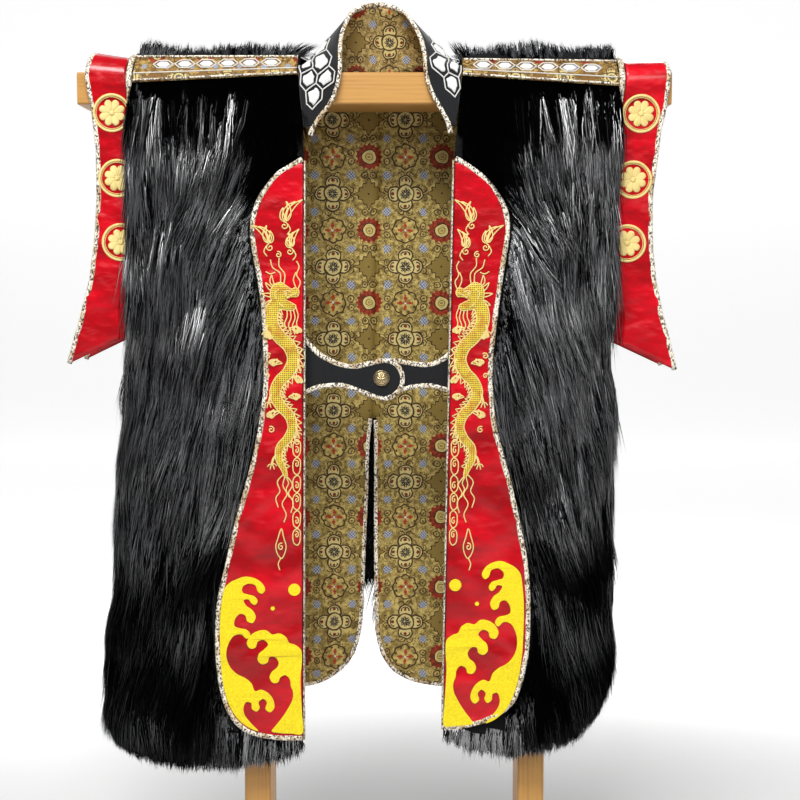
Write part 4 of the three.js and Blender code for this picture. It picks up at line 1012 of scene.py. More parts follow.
faces_of = {}
for name, side in SIDES.items():
    for part in ("front", "back"):
        inner, outer = front_faces(side) if part == "front" else back_faces(side)
        faces_of[part, name] = (inner, outer)
        if part == "front":
            inner, outer = front_faces(side, HIDE_SHORT)
        depth = np.full(outer.shape[:2], HIDE_DEPTH)
        if part == "front":
            depth[:2] = DEPTH_UNDER_STRIP
            depth[5:, :LAPEL_COLUMNS] = DEPTH_UNDER_LAPEL
        else:
            depth[:5] = DEPTH_OVER_BEAM  # where the hair lies flat
        face = mix(inner, outer, depth[..., None])
        points, quads, big = wall(finer(face), finer(inner))
        silk = np.zeros(len(quads), int)
        silk[big // 2:big] = 1
        hide = piece(f"hide_{part}_{name}", points, quads, HIDE, "fur", [f"{part}_{name}"],
                     big, (LINING_SILK, silk))
        print(hide.name, "covers", round(flat_area(hide), 3), "square metres")


# %% [markdown]
# ## The fur
# Blender has hair objects, but a mesh can be exported, weighed and looked at from any
# program, so each hair here is a thin ribbon of a quad and a triangle. Real fur lies
# in locks, and a lock in fine strands: hairs near each other share a direction and
# meet at their tips. We scatter centres of locks and of strands, let every hair lean
# to the nearest of both, and comb the whole down and outwards. About half of the
# strands are glossy and the rest stay dark, which gives black fur its fine streaks.
# The pile also rises and falls in soft waves. The larger bright and dark patches come
# partly from these waves and partly from painted light: in rows and patches over the
# coat the hairs get a grey base colour and a heavier coat as a painted highlight, and
# on the fronts below the shoulder strip, beside the collar and low on the coat they
# stay black as painted shade. First we choose the places.

# %% Places for hair
HAIR_WIDTH = 0.8
HAIRS_A_LOCK = 34
HAIRS_A_STRAND = 5
GLOSSY_SHARE = 0.46  # of the strands
COMB_STEP = 6  # degrees that a hair is turned away from a bare place, up to nine times
RINGS = np.array([0.0, 0.5, 1.0])
RING_WIDTH = np.array([0.9, 0.95, 0.0])
DOWN = np.array([0.0, 0.0, -1.0])


def scatter(rng, inner, outer, wanted, count):
    """Random places of a panel: a point on both faces, the way down, out and sideways."""
    a, b, c, d = outer[:-1, :-1], outer[:-1, 1:], outer[1:, :-1], outer[1:, 1:]
    area = np.linalg.norm(np.cross(b - a, c - a), axis=-1)
    area = area + np.linalg.norm(np.cross(b - d, c - d), axis=-1)
    weight = (area * wanted((a + b + c + d) / 4)).ravel()
    pick = rng.choice(weight.size, count, p=weight / weight.sum())
    r, k = np.unravel_index(pick, area.shape)
    s, t = rng.random((2, count))

    def spot(grid):
        top = mix(grid[r, k], grid[r, k + 1], s[:, None])
        low = mix(grid[r + 1, k], grid[r + 1, k + 1], s[:, None])
        down, aside = unit(low - top), unit(grid[r, k + 1] - grid[r, k])
        return mix(top, low, t[:, None]), down, aside, unit(np.cross(aside, down))

    tips, down, aside, out_far = spot(outer)
    roots, _, _, out_near = spot(inner)
    reach = tips - roots
    for out in (out_far, out_near):
        out[np.einsum("ij,ij->i", out, reach) < 0] *= -1
    over_beam = smooth((tips[:, 2:] - 1070) / 25) * (tips[:, 1:2] > -30)
    out = unit(mix(0.75 * out_near + 0.25 * out_far, out_far, over_beam))
    falls = DOWN + out * out[:, 2:]
    lying = smooth((np.abs(out[:, 2:]) - 0.45) / 0.3)
    falls = unit(mix(unit(falls), down, lying))
    sideways = np.cross(out, falls)
    sideways[np.einsum("ij,ij->i", sideways, aside) < 0] *= -1
    return roots, tips, falls, unit(sideways), out


def nearest(points, centres):
    tree = kdtree.KDTree(len(centres))
    for i, centre in enumerate(centres):
        tree.insert(centre, i)
    tree.balance()
    return np.array([tree.find(p)[1] for p in points])


# %% [markdown]
# A mesh of thousands of hairs is far quicker to fill as whole arrays than face by
# face. Each hair has five points: two pairs and the tip.

# %% Ribbons
def ribbons(name, paths, facing, widths, tone):
    """One mesh of many ribbons that end in a point. paths is hair by ring by point."""
    count = len(paths)
    along = unit(np.gradient(paths, axis=1))
    side = unit(np.cross(along, facing[:, None, :])) * widths[..., None] / 2
    body = np.stack([paths - side, paths + side], 2)[:, :-1].reshape(count, -1, 3)
    points = np.concatenate([body, paths[:, -1:]], 1)
    first = np.arange(count)[:, None] * points.shape[1]
    corners = first + np.array([0, 1, 3, 2, 2, 3, 4])
    starts = np.arange(count)[:, None] * 7 + np.array([0, 4])
    mesh = bpy.data.meshes.new(name)
    mesh.vertices.add(points.shape[0] * points.shape[1])
    mesh.vertices.foreach_set("co", ((points + (SHIFT, 0, 0)) * MM).ravel())
    mesh.loops.add(corners.size)
    mesh.loops.foreach_set("vertex_index", corners.ravel())
    mesh.polygons.add(starts.size)
    mesh.polygons.foreach_set("loop_start", starts.ravel())
    mesh.polygons.foreach_set("use_smooth", np.ones(starts.size, bool))
    mesh.update(calc_edges=True)
    own = np.repeat(tone, 5)
    way = np.tile(np.repeat(RINGS, 2)[:-1], count)
    chart = mesh.uv_layers.new(name="OFBake")
    chart.data.foreach_set("uv", np.stack([own, way], 1)[corners.ravel()].ravel())
    mesh.materials.append(FUR)
    return carried(name, mesh, "fur")


# %% [markdown]
# Combing turns places into hairs. Every hair gets a direction, a length, a lift off the
# hide and a tone, each the sum of a share for its lock, its strand and itself. A hair
# that would cross a bare place is turned away from it, a little at a time.

# %% Combing
def waves_of(x, z, seed):
    """A slow wave between -1 and 1 over the coat."""
    return (np.sin(x * 0.031 + z * 0.019 + seed) + np.sin(z * 0.043 - x * 0.017 + 2 * seed)
            + np.sin(x * 0.052 - z * 0.028 + 3 * seed)) / 2.2


def comb(name, inner, outer, count, seed, grows):
    """Hair over a panel. grows says where, how long, which way and how far down it may hang."""
    rng = np.random.default_rng(seed)
    roots, tips, down, aside, out = scatter(rng, inner, outer, grows["where"], count)
    centres = scatter(rng, inner, outer, grows["where"], count // HAIRS_A_LOCK)[1]
    strands = scatter(rng, inner, outer, grows["where"], count // HAIRS_A_STRAND)[1]
    lock, strand = nearest(tips, centres), nearest(tips, strands)

    def by_lock(spread):
        return rng.normal(0, spread, len(centres))[lock]

    def by_strand(spread):
        return rng.normal(0, spread, len(strands))[strand]

    bright = np.where(rng.random(len(strands)) < GLOSSY_SHARE, 1.0, 0.0)[strand]
    x, z = tips[:, 0], tips[:, 2]
    angle = grows["lean"](tips) + by_lock(2.6) + by_strand(2.0) + rng.normal(0, 2.4, count)
    angle = np.radians(angle + 5.5 * waves_of(x, z, seed))
    long = grows["length"](tips) * rng.normal(1, 0.14, count).clip(0.55, 1.4)
    share = rng.uniform(0.6, 0.84, count)
    start = mix(roots, tips, share[:, None])

    def heading():
        return unit(down * np.cos(angle)[:, None] + aside * np.sin(angle)[:, None])

    for _ in range(9):
        way = heading()
        bad = (grows["bare"](start + way * long[:, None])
               | grows["bare"](start + way * long[:, None] * 0.55))
        angle[bad] += math.radians(COMB_STEP)
    long = np.where(bad, 0.3 * long, long)
    pile = np.linalg.norm(tips - roots, axis=1)
    low = grows["floor"](tips) + rng.normal(0, 4.5, count) + by_lock(3.5)
    fall = -way[:, 2] * long
    short = np.where(start[:, 2] - fall < low, (start[:, 2] - low) / np.maximum(fall, 1), 1)
    long = long * short.clip(0.16, 1)
    rise = pile * (1 - share) * (rng.uniform(0.5, 1.05, count) + by_lock(0.2))
    rise = rise * (1 + 0.35 * waves_of(x * 1.4, z * 1.4, seed + 5)) * long.clip(0, 60) / 60
    gather = (centres[lock] - tips) * 0.16 + (strands[strand] - tips) * 0.5
    gather -= way * np.einsum("ij,ij->i", gather, way)[:, None]
    gather -= out * np.einsum("ij,ij->i", gather, out)[:, None] * 0.6
    gather *= np.minimum(1, 9 / np.maximum(np.linalg.norm(gather, axis=1), 1))[:, None]
    side = unit(np.cross(way, out))
    sway = rng.normal(0, 1.5, (count, 1)) * side
    t = RINGS[None, :, None]
    paths = (start[:, None] + way[:, None] * (long[:, None, None] * t)
             + out[:, None] * (rise[:, None, None] * (1 - (1 - t) ** 2))
             + gather[:, None] * t ** 1.4 + sway[:, None] * np.sin(t * math.pi))
    lay = 4.2 * waves_of(paths[..., 0] * 1.15, paths[..., 2] * 1.3, seed + 9)
    paths += out[:, None] * (lay * np.minimum(1, pile[:, None] / 20))[..., None]
    roll = by_lock(0.10) + by_strand(0.20) + rng.normal(0, 0.12, count)
    facing = unit(out * np.cos(roll)[:, None] + side * np.sin(roll)[:, None])
    widths = HAIR_WIDTH * rng.uniform(0.65, 1.35, (count, 1)) * RING_WIDTH[None, :]
    shine = 0.25 + 1.75 * bright + by_lock(0.14) + rng.normal(0, 0.28, count)
    # Besides each hair's own shine, the tone carries the panel's painted light: painted highlight
    # in some places and painted shade in others.
    tone = 0.02 + grows["gloss_and_painted_light"](tips) * shine
    return ribbons(name, paths, facing, widths, tone.clip(0.01, 0.99))


# %% [markdown]
# Where the fur grows: on a front, everywhere outside the lapel and below the shoulder
# strip, and along the hem under the lapel too. Beside the lapel the hair is combed
# away from it, so the piping stays clear.

# %% Fur of the fronts
FRONT_HAIRS = 35500  # in each half of a front
BACK_HAIRS = 33500
VENT_HAIRS = 3600
FRONT_HALVES = 640  # the height where the upper half of a front meets the lower
GLOSS_ENDS = {"left": 500, "right": 520}  # below this height the pile hangs out of the light
EDGE_LEAN = {"left": [(250, -3), (420, -4), (500, -11), (700, -11), (760, 2), (1100, 5)],
             "right": [(250, -1), (520, 1), (600, 5), (1100, 5)]}  # degrees, by height
HEM_RISE = {"left": 10, "right": 8}


# Painted light on the fur: rows and patches of painted highlight, where the hairs get a grey base
# colour and a heavier coat, fading to painted shade below the height in GLOSS_ENDS.
def gloss_with_painted_light(p, seed, ends):
    x, z = np.abs(p[:, 0]), p[:, 2]
    painted_shade_fade = 0.17 + 0.83 * smooth((z - ends + 0.35 * (x - 200)) / 180)
    rows = np.sin(z * 0.043 + 0.9 * np.sin(x * 0.022 + seed) + 1.3)
    highlight_patch = smooth(0.52 + 0.8 * waves_of(x * 0.9, z * 0.95, seed + 2))
    return painted_shade_fade * (0.55 + 0.40 * highlight_patch + 0.28 * rows)


def strip_low_at(side, x):
    """Height of the lower edge of the shoulder strip."""
    neck, end = float(at(side["fold"], 1085)), float(at(side["edge"], 1100))
    t = ((x - neck) / (end - neck)).clip(0, 1)
    return mix(side["strip_low"][0][1], side["strip_low"][1][1], t)


def front_fur(name, side, seed, half):
    inner, outer = (finer(g, 2) for g in faces_of["front", name])
    fold = side["lapel"][0][1]
    heights = np.arange(200, 1130, 2.0)
    laps = np.array([lapel_edge(side, z) for z in heights])
    edges = at(side["edge"], heights)

    def lap_of(p):
        return np.interp(p[..., 2], heights, laps)

    def share(p):
        x = np.abs(p[..., 0])
        return ((x - lap_of(p)) / (np.interp(p[..., 2], heights, edges) - lap_of(p))).clip(0, 1)

    def where(p):
        x, z = np.abs(p[..., 0]), p[..., 2]
        under_lapel = (z < fold) & (x < lap_of(p) - 4) & (z > 268)
        under_strip = z > strip_low_at(side, x) + 5
        low = z < hem_at(side, x) + 6
        grows = np.where(under_lapel | under_strip | low, 0.0, 1.0)
        fringe = (z < 300) * 0.5 + (z > 1060) * 0.6 + (x < lap_of(p) + 12) * 0.5
        return grows * (1 + fringe) * ((z > FRONT_HALVES) == (half == "upper"))

    def lean(p):
        x, z, t = np.abs(p[:, 0]), p[:, 2], share(p)
        body = mix(18, at(EDGE_LEAN[name], z), t) * smooth((z - 262) / 110)
        sleeve = smooth((z - 830) / 60)
        body = body * (1 - sleeve * t ** 1.5)
        chest = 24 * smooth((z - 880) / 60) * smooth((1075 - z) / 70) * (1 - t) ** 1.6
        neck = -24 * smooth((z - 985) / 30) * smooth((at(side["fold"], z) + 18 - x) / 12)
        return body + chest + neck

    def length(p):
        return mix(62, 80, smooth((1085 - p[:, 2]) / 60))

    def bare(p):
        x, z = np.abs(p[:, 0]), p[:, 2]
        return (z < fold + 3) & (z > 262) & (x < lap_of(p) + 1.5)

    def floor(p):
        x = np.abs(p[:, 0])
        return hem_at(side, x) + HEM_RISE[name] * smooth((x - 170) / 40)

    def gloss_and_painted_light(p):
        x, z = np.abs(p[:, 0]), p[:, 2]
        starts = at(side["fold"], z) + mix(-60, 44, smooth((z - 940) / 60))
        top = 1080 + 13 * waves_of(x * 6.5, z * 2.5, seed)
        # Painted shade: just below the shoulder strip, and beside the fold near the collar, the
        # hairs keep a black tone.
        dark = smooth((top - z) / 42) * smooth((x - starts) / 60)
        # Painted highlight: a lighter tone for the hairs low at the hem towards the middle.
        hem = 0.30 * smooth((292 - z) / 24) * smooth((270 - x) / 110)
        return gloss_with_painted_light(p, seed, GLOSS_ENDS[name]) * dark + hem

    grows = {"where": where, "lean": lean, "length": length, "bare": bare, "floor": floor,
             "gloss_and_painted_light": gloss_and_painted_light}
    return comb(f"fur_front_{name}_{half}", inner, outer, FRONT_HAIRS, seed, grows)


# %% [markdown]
# The back is simpler: the hair hangs down all over, lies short and flat over the beam,
# and a second, denser growth closes the upper part of the vent.

# %% Fur of the back
def back_fur(name, side, seed):
    inner, outer = (finer(g, 2) for g in faces_of["back", name])
    heights = np.arange(280, VENT_TOP, 2.0)
    starts = np.array([back_start(side, z, HIDE_INSET) for z in heights])

    def from_vent(p):
        start = np.interp(p[..., 2], heights, starts, right=0.0)
        return side["sign"] * p[..., 0] - start

    def where(p):
        z = p[..., 2]
        more = 5.0 * (z > 1098) + 2.0 * (from_vent(p) < 12) * (z < 665) * (z > 380)
        return np.where((z < 322) | (from_vent(p) < 5) & (z < 380), 0.0, 1.0 + more)

    def lean(p):
        z = p[:, 2]
        body = 8 * smooth((1000 - z) / 200)
        vent = -20 * smooth((16 - from_vent(p)) / 12) * smooth((690 - z) / 20)
        neck = -42 * smooth((124 - np.abs(p[:, 0])) / 22) * smooth((z - 1092) / 8)
        return body + neck + vent * smooth((z - 385) / 60)

    def length(p):
        neck = 15 * smooth((128 - np.abs(p[:, 0])) / 20) * smooth((p[:, 2] - 1092) / 8)
        return mix(64, 21, smooth((p[:, 2] - 1090) / 25)) + neck

    def bare(p):
        return np.zeros(len(p), bool)

    def floor(p):
        return np.where(p[:, 2] < 600, 309.0, 0.0)

    def gloss_and_painted_light(p):
        return gloss_with_painted_light(p, seed, GLOSS_ENDS[name])

    grows = {"where": where, "lean": lean, "length": length, "bare": bare, "floor": floor,
             "gloss_and_painted_light": gloss_and_painted_light}
    return comb(f"fur_back_{name}", inner, outer, BACK_HAIRS, seed, grows)


def vent_fur(name, side, seed):
    """Dense hair along the upper vent, combed across until it closes the slit."""
    rng = np.random.default_rng(seed)
    heights = np.arange(440.0, 700.0, 2.0)
    starts = np.array([back_start(side, z, HIDE_INSET) for z in heights])
    z = rng.uniform(462, 694, VENT_HAIRS)
    x = side["sign"] * (np.interp(z, heights, starts) + rng.uniform(-2, 7, VENT_HAIRS))
    y = -inside_y(z) + rng.uniform(6, 18, VENT_HAIRS)
    angle = np.radians(rng.normal(24, 6, VENT_HAIRS))
    way = np.column_stack([-side["sign"] * np.sin(angle), rng.normal(0, 0.05, VENT_HAIRS),
                           -np.cos(angle)])
    long = rng.uniform(28, 48, VENT_HAIRS)[:, None, None]
    paths = np.column_stack([x, y, z])[:, None] + way[:, None] * long * RINGS[None, :, None]
    widths = 1.2 * HAIR_WIDTH * rng.uniform(0.7, 1.3, (VENT_HAIRS, 1)) * RING_WIDTH[None, :]
    facing = unit(np.column_stack([rng.normal(0, 0.3, (VENT_HAIRS, 2)), np.zeros(VENT_HAIRS)])
                  + (0, -1, 0))
    return ribbons(f"fur_vent_{name}", paths, facing, widths, rng.uniform(0, 0.3, VENT_HAIRS))


for seed, (name, side) in enumerate(SIDES.items(), 3):
    for grown in (front_fur(name, side, seed, "upper"), front_fur(name, side, seed, "lower"),
                  back_fur(name, side, seed + 10), vent_fur(name, side, seed + 20)):
        print(grown.name, len(grown.data.polygons), "ribbon faces")


# %% [markdown]
# ## The back lining
# The silk hangs flat against the back and drops with almost no fold, only a slow
# ripple where the weight of the hem pulls. It is cut in two halves that meet at the
# middle seam and part at the vent.

# %% Lining
LINING = 1.0
LINING_INSET = 4


def lining(name, side):
    rows = np.concatenate([np.linspace(1083, VENT_TOP + 1, 54),
                           np.linspace(655.6, BOUND_BELOW, 46), [299, 295, 291]])
    grid = []
    for z in rows:
        vented = z < VENT_TOP
        first = back_start(side, z, LINING_INSET if vented else 0) - (0 if vented else 0.15)
        end = float(at(side["edge"], z)) - 60
        row = []
        for t in np.linspace(0, 1, 26):
            x = mix(first, end, t)
            seam = math.exp(-((x - first) / 5.0) ** 2) * 0.6
            ripple = 0.5 * math.sin(x * 0.045 + z * 0.006) + 0.35 * math.sin(z * 0.021 - x * 0.02)
            y = -float(inside_y(z)) - 0.2 + seam + 0.7 * ripple * (1 - seam)
            row.append([side["sign"] * x, y, bound(side, x, z, 3.5)])
        grid.append(row)
    inner = np.array(grid)
    points, quads, big = wall(inner + (0, LINING, 0), inner)
    made = piece(f"lining_{name}", points, quads, LINING_SILK, "brocade",
                 [f"back_lining_{name}"], big)
    return made


for name, side in SIDES.items():
    print("lining covers", round(flat_area(lining(name, side)), 3), "square metres")


# %% [markdown]
# ## The lapels
# Each lapel is the front's own edge turned back, so it lies on the flattened fur. The
# leather is soft: it keeps shallow creases across its width. We lay it as a grid whose
# rows follow the outline, so the curved end at the hem keeps its shape.


def on_bed(z, lift):
    return inside_y(z) - BED - SEAM - lift


def creases(x, z):
    """Height of the leather's soft wrinkles, in millimetres."""
    broad = np.sin(z * 0.105 + 1.6 * np.sin(x * 0.06 + z * 0.012)) * np.sin(z * 0.021 + 0.6)
    slant = np.sin(z * 0.19 + x * 0.14 + np.sin(z * 0.05)) * smooth(np.sin(z * 0.033 + 2.0))
    return 1.1 * broad + 0.65 * slant


def lapel_face(side, a, z, lift=0.0):
    """A point of the lapel's face: a is the distance from the fold."""
    x = at(side["fold"], z) + a
    y = on_bed(z, LEATHER + lift) - 0.75 * (creases(x, z) + 1.25)
    return np.stack([side["sign"] * x, y, np.broadcast_to(z, np.shape(x))], -1)


def lapel_outline(side, inset):
    return offset(spline(side["lapel"], 5.0), -inset)


def lapel(name, side):
    edge = lapel_outline(side, PIPING * 0.55)[2:-1]
    rows = []
    for x, z in edge:
        fold = float(at(side["fold"], z)) + SEAM
        a = np.linspace(0, max(3.0, x - fold), 22)
        rows.append(lapel_face(side, a + SEAM, z))
    face = np.array(rows)
    back = face.copy()
    back[..., 1] = on_bed(face[..., 2], 0)
    points, quads, big = wall(face, back)
    made = piece(f"leather_lapel_{name}", points, quads, LEATHER_RED, "red_leather",
                 [f"lapel_{name}"], big)
    return made


for name, side in SIDES.items():
    print("lapel covers", round(flat_area(lapel(name, side)), 3), "square metres")


# %% [markdown]
# ## The piping
# A strip of bias-cut silk is folded over every raw edge and stitched down. It stands
# up as a soft bead, a little uneven where the hand let go, which a tiny swell of its
# width gives.

# %% Piping round the lapels, fronts and vent
def piping(name, path, normals, width, thick, stands_for, uneven=0.05):
    path = np.asarray(path, float)
    way = np.cumsum(np.r_[0, np.linalg.norm(np.diff(path, axis=0), axis=1)])
    grow = 1 + uneven * np.sin(way * 0.31) * np.sin(way * 0.11 + 1)
    points, quads = bead(path, normals, width, thick, 12, grow)
    piece(name, points, quads, PIPED, "piping", [stands_for])


def straight_out(path, y=-1.0):
    return np.tile([0.0, y, 0.0], (len(path), 1))


def lapel_piping(name, side):
    line = np.array(offset(side["lapel"], -PIPING / 2))
    line[0] = [float(at(side["fold"], line[0][1])) + 1, side["lapel"][0][1] - 2]
    line[-1][0] = float(at(side["fold"], 254)) + 0.4
    line = spline(line, 4.0)
    path = np.column_stack([side["sign"] * line[:, 0], on_bed(line[:, 1], PIPING_THICK / 2),
                            line[:, 1]])
    piping(f"piping_lapel_{name}", path, straight_out(path), PIPING, PIPING_THICK + 0.6,
           f"lapel_piping_{name}")


def edge_piping(name, side):
    z = np.linspace(side["lapel"][0][1] - 4, side["lapel"][-1][1] + 1, 150)
    path = np.column_stack([side["sign"] * (at(side["fold"], z) - 1.75), inside_y(z) - 6.3, z])
    piping(f"piping_front_edge_{name}", path, straight_out(path), 2.8, 12.4,
           f"front_edge_piping_{name}", 0.04)


def vent_piping(name, side):
    line = spline(vent_line(side, PIPING / 2), 4.0)
    path = np.column_stack([side["sign"] * line[:, 0], -inside_y(line[:, 1]) + 2.2, line[:, 1]])
    piping(f"piping_vent_{name}", path, straight_out(path, 1.0), PIPING, PIPING_THICK + 1,
           f"vent_piping_{name}")


for name, side in SIDES.items():
    lapel_piping(name, side)
    edge_piping(name, side)
    vent_piping(name, side)


# %% [markdown]
# ## Felt cut-outs
# The waves and drops are cut from felt and appliqued. A filled two-dimensional curve
# with a bevel gives exactly such a piece: a flat top and a rounded edge. We turn it
# into a mesh and lay every point on the lapel's face, so it follows the leather.

# %% Waves and drops
WAVE_OUTER = [
    [99, 450], [92, 457.5], [84, 461.5], [73, 465], [60, 462.5], [51, 456], [47.5, 448],
    [51.5, 443], [57, 446], [60, 453.5], [69, 456], [76.5, 451], [76, 444.5], [69, 442],
    [61, 439.5], [57, 433], [60.5, 428.5], [65.5, 431], [68.5, 435.5], [75, 434.5], [72, 428],
    [63.5, 421.5], [59.5, 413], [63.5, 405.5], [70.5, 407.5], [73, 415], [79.5, 417], [86, 410],
    [86.5, 401.5], [79.5, 398.5], [71, 396.5], [66.5, 389.5], [71, 385], [78.5, 390.5],
    [87.5, 388.5], [94.5, 378], [97, 364], [93, 349.5], [83.5, 339.5], [73, 334], [65, 327],
    [60.5, 317.5], [53, 319.5], [43.5, 315], [37, 305.5], [36, 295.5], [41.5, 290], [47.5, 294.5],
    [45.5, 302.5], [50, 307.5], [56, 303], [54.5, 296], [58.5, 291], [64.5, 294.5], [65.5, 302],
    [71.5, 303.5], [75, 297], [74, 287], [65.5, 275.5], [56.5, 265.8], [70, 271], [84, 283],
    [93.4, 299.5], [99.8, 320], [103.8, 346], [105.2, 376], [105.2, 406], [103.2, 430]]
WAVE_INNER = [
    [0.6, 362], [2, 371], [10, 377.5], [17, 380], [21, 387.5], [30, 392], [38.5, 390.5],
    [46.5, 396], [57, 395], [66.5, 389], [71, 379.5], [67, 372.5], [60, 373.5], [57, 381],
    [50, 383.5], [44, 378], [49, 371.5], [55.5, 366], [57, 357.5], [51.5, 352], [44.5, 354.5],
    [42, 361.5], [35.5, 361.5], [30.5, 354], [33, 347.5], [39, 342.5], [42, 335.5], [38, 328.5],
    [31, 329], [28, 335.5], [21.5, 338], [16, 332.5], [15, 324.5], [12, 316], [13, 306],
    [18.5, 295], [27, 282], [35.5, 271.5], [39.5, 265.5], [28, 263], [15, 262.4], [0.6, 262.2],
    [0.6, 290], [2, 315], [2.4, 335]]
WAVE_FOOT, WAVE_TALL = 264, 196
FELT = 1.5
FELT_EDGE = 0.6  # radius of the rounded edge


def cut_out(outline):
    """Points (flat x, flat y, height) and faces of a shape cut from the felt."""
    data = bpy.data.curves.new("cut_out", "CURVE")
    data.dimensions = "2D"
    data.fill_mode = "BOTH"
    data.extrude = (FELT / 2 - FELT_EDGE) * MM
    data.bevel_depth = FELT_EDGE * MM
    data.bevel_resolution = 2
    data.offset = -FELT_EDGE * MM
    line = data.splines.new("POLY")
    line.points.add(len(outline) - 1)
    for point, (a, b) in zip(line.points, outline):
        point.co = (a * MM, b * MM, 0, 1)
    line.use_cyclic_u = True
    holder = shown("cut_out", data)
    mesh = bpy.data.meshes.new_from_object(holder)
    points = np.array([v.co for v in mesh.vertices], float).reshape(-1, 3) / MM
    points[:, 2] += FELT / 2
    faces = [list(p.vertices) for p in mesh.polygons]
    bpy.data.objects.remove(holder)
    bpy.data.meshes.remove(mesh)
    return points, faces


def applique(name, side, outline, stands_for):
    """Felt on the lapel; the outline holds distances from the fold and heights."""
    flat, faces = cut_out(outline)
    a, z, high = flat.T
    points = lapel_face(side, a, z)
    points[:, 1] -= high
    if side["sign"] < 0:
        faces = [face[::-1] for face in faces]
    piece(name, points, faces, YELLOW_FELT, "yellow_felt", [stands_for])


def wave(fit, knots):
    """Outline of a wave, moved and narrowed to fit its lapel."""
    high, low, narrow = fit
    knots = np.array(knots, float)
    knots[:, 1] += mix(high, low, (knots[:, 1] - WAVE_FOOT) / WAVE_TALL)
    knots[:, 0] *= narrow
    return spline(knots, 1.6, closed=True)


def disc(centre, radius, count=40):
    turn = np.linspace(0, math.tau, count, endpoint=False)
    return np.array(centre) + radius * np.column_stack([np.cos(turn), np.sin(turn)])


for name, side in SIDES.items():
    for which, knots, fit in zip(("outer", "inner"), (WAVE_OUTER, WAVE_INNER), side["waves"]):
        applique(f"felt_wave_{which}_{name}", side, wave(fit, knots), f"wave_{which}_{name}")
    for size, (a, z, radius) in zip(("large", "small"), side["dots"]):
        applique(f"felt_drop_{size}_{name}", side, disc((a, z), radius),
                 f"wave_drop_{size}_{name}")


# %% [markdown]
# ## Gold embroidery
# Above the waves each lapel is worked in gold silk cord, laid on the leather and
# stitched down: blown flames at the top, a long scaled serpent winding down between
# smaller flames and curls, tongues of fire at its tail and a chain of curls beside
# the fold. We draw every cord as a line on the lapel, by its distance from the fold
# and its height, and lay a thin bead along it.

# %% Cords and padded shapes
def curl(a, z, size, start, turns, way, tall=1.0):
    """A spiral that ends at its middle."""
    t = np.linspace(0, 1, 20)[:, None]
    turn = start + way * turns * math.tau * t
    return (a, z) + size * (1 - 0.82 * t) * np.hstack([np.cos(turn), tall * np.sin(turn)])


def pillow(outline, centre, rise):
    """A padded shape on a flat outline: points with a height, and quads."""
    shares, heights = (1.0, 1.0, 0.88, 0.6, 0.25), (0.0, 0.45, 0.8, 1.0, 1.05)
    rings = [np.column_stack([centre + (outline - centre) * g, np.full(len(outline), h * rise)])
             for g, h in zip(shares, heights)]
    return capped(rings, [*centre, rise * 1.05], [*centre, 0.0])


def closed_line(knots, step=1.5):
    ring = spline(knots, step, True)
    return np.vstack([ring, ring[:1]])


# %% [markdown]
# The drawing is a set of tables: knots of lines, by distance from the fold and height.

# %% The embroiderer's drawing
SERPENT = [[33, 813], [39, 801], [39, 785], [29, 769], [17, 757], [12, 741], [18, 725], [30, 712],
           [35, 697], [28, 682], [17, 670], [13, 655], [19, 641], [29, 629], [30, 615], [24, 602],
           [21, 592]]
SKULL = [[34, 836], [27, 837], [21, 833], [14, 829], [9, 831], [5, 826], [7, 820], [14, 819.5],
         [22, 816], [15, 812], [9, 808], [12, 803], [22, 803], [31, 805], [38, 812], [41, 822],
         [39, 831]]
HORNS = [[[28, 837], [29, 849], [38, 856], [41, 866]],
         [[24, 835], [23, 848], [30, 858], [30, 868]], [[35, 850], [41, 848], [47, 851]]]
WHISKERS = [[[6, 829], [3.5, 838], [8, 847], [5, 857], [8, 864]], [[9, 831], [12, 841], [9, 850]]]
BEARD = [[[9, 806], [6, 796], [8, 786], [5, 776]],
         [[12, 803], [10, 793], [13, 783], [10, 772]],
         [[16, 803], [15, 793], [18, 784], [15, 775]],
         [[20, 803], [20, 794], [23, 786], [21, 779]]]
FACE = [[[14, 824], [19, 827], [25, 825]], [[8, 823], [13, 822], [20, 818]],
        [[24, 806], [30, 811]], [[30, 829], [35, 824], [33, 816]]]
LEGS = [[[38, 790], [44, 784], [46, 776]], [[13, 746], [7, 741], [5, 733]],
        [[34, 702], [40, 696], [43, 687]], [[15, 660], [9, 656], [7, 648]],
        [[29, 622], [36, 617], [39, 609]]]
FLAMES = [[[21, 594], [13, 582], [18, 571], [12, 560], [15, 546]],
          [[22, 594], [25, 581], [20, 570], [26, 558], [21, 544], [24, 534]],
          [[24, 596], [32, 586], [29, 574], [34, 565], [31, 553]],
          [[21, 592], [18, 584], [21, 576], [17, 566]]]
CLAWS = (3.3, 4.2, 5.1, 5.9)  # the ways they point, in radians
# each flame's root, its size, the way it blows and which way it curls
LARGE_FLAMES = ((22, 914, 34, 1.75, 1), (43, 887, 30, 1.3, -1), (15, 882, 24, 1.5, 1))
SMALL_FLAMES = ((44, 768, 15, 2.3, 1), (5, 775, 13, 0.9, -1), (40, 735, 14, 2.6, 1),
                (4, 712, 12, 1.2, -1), (42, 668, 15, 2.2, 1), (6, 692, 12, 0.6, -1))
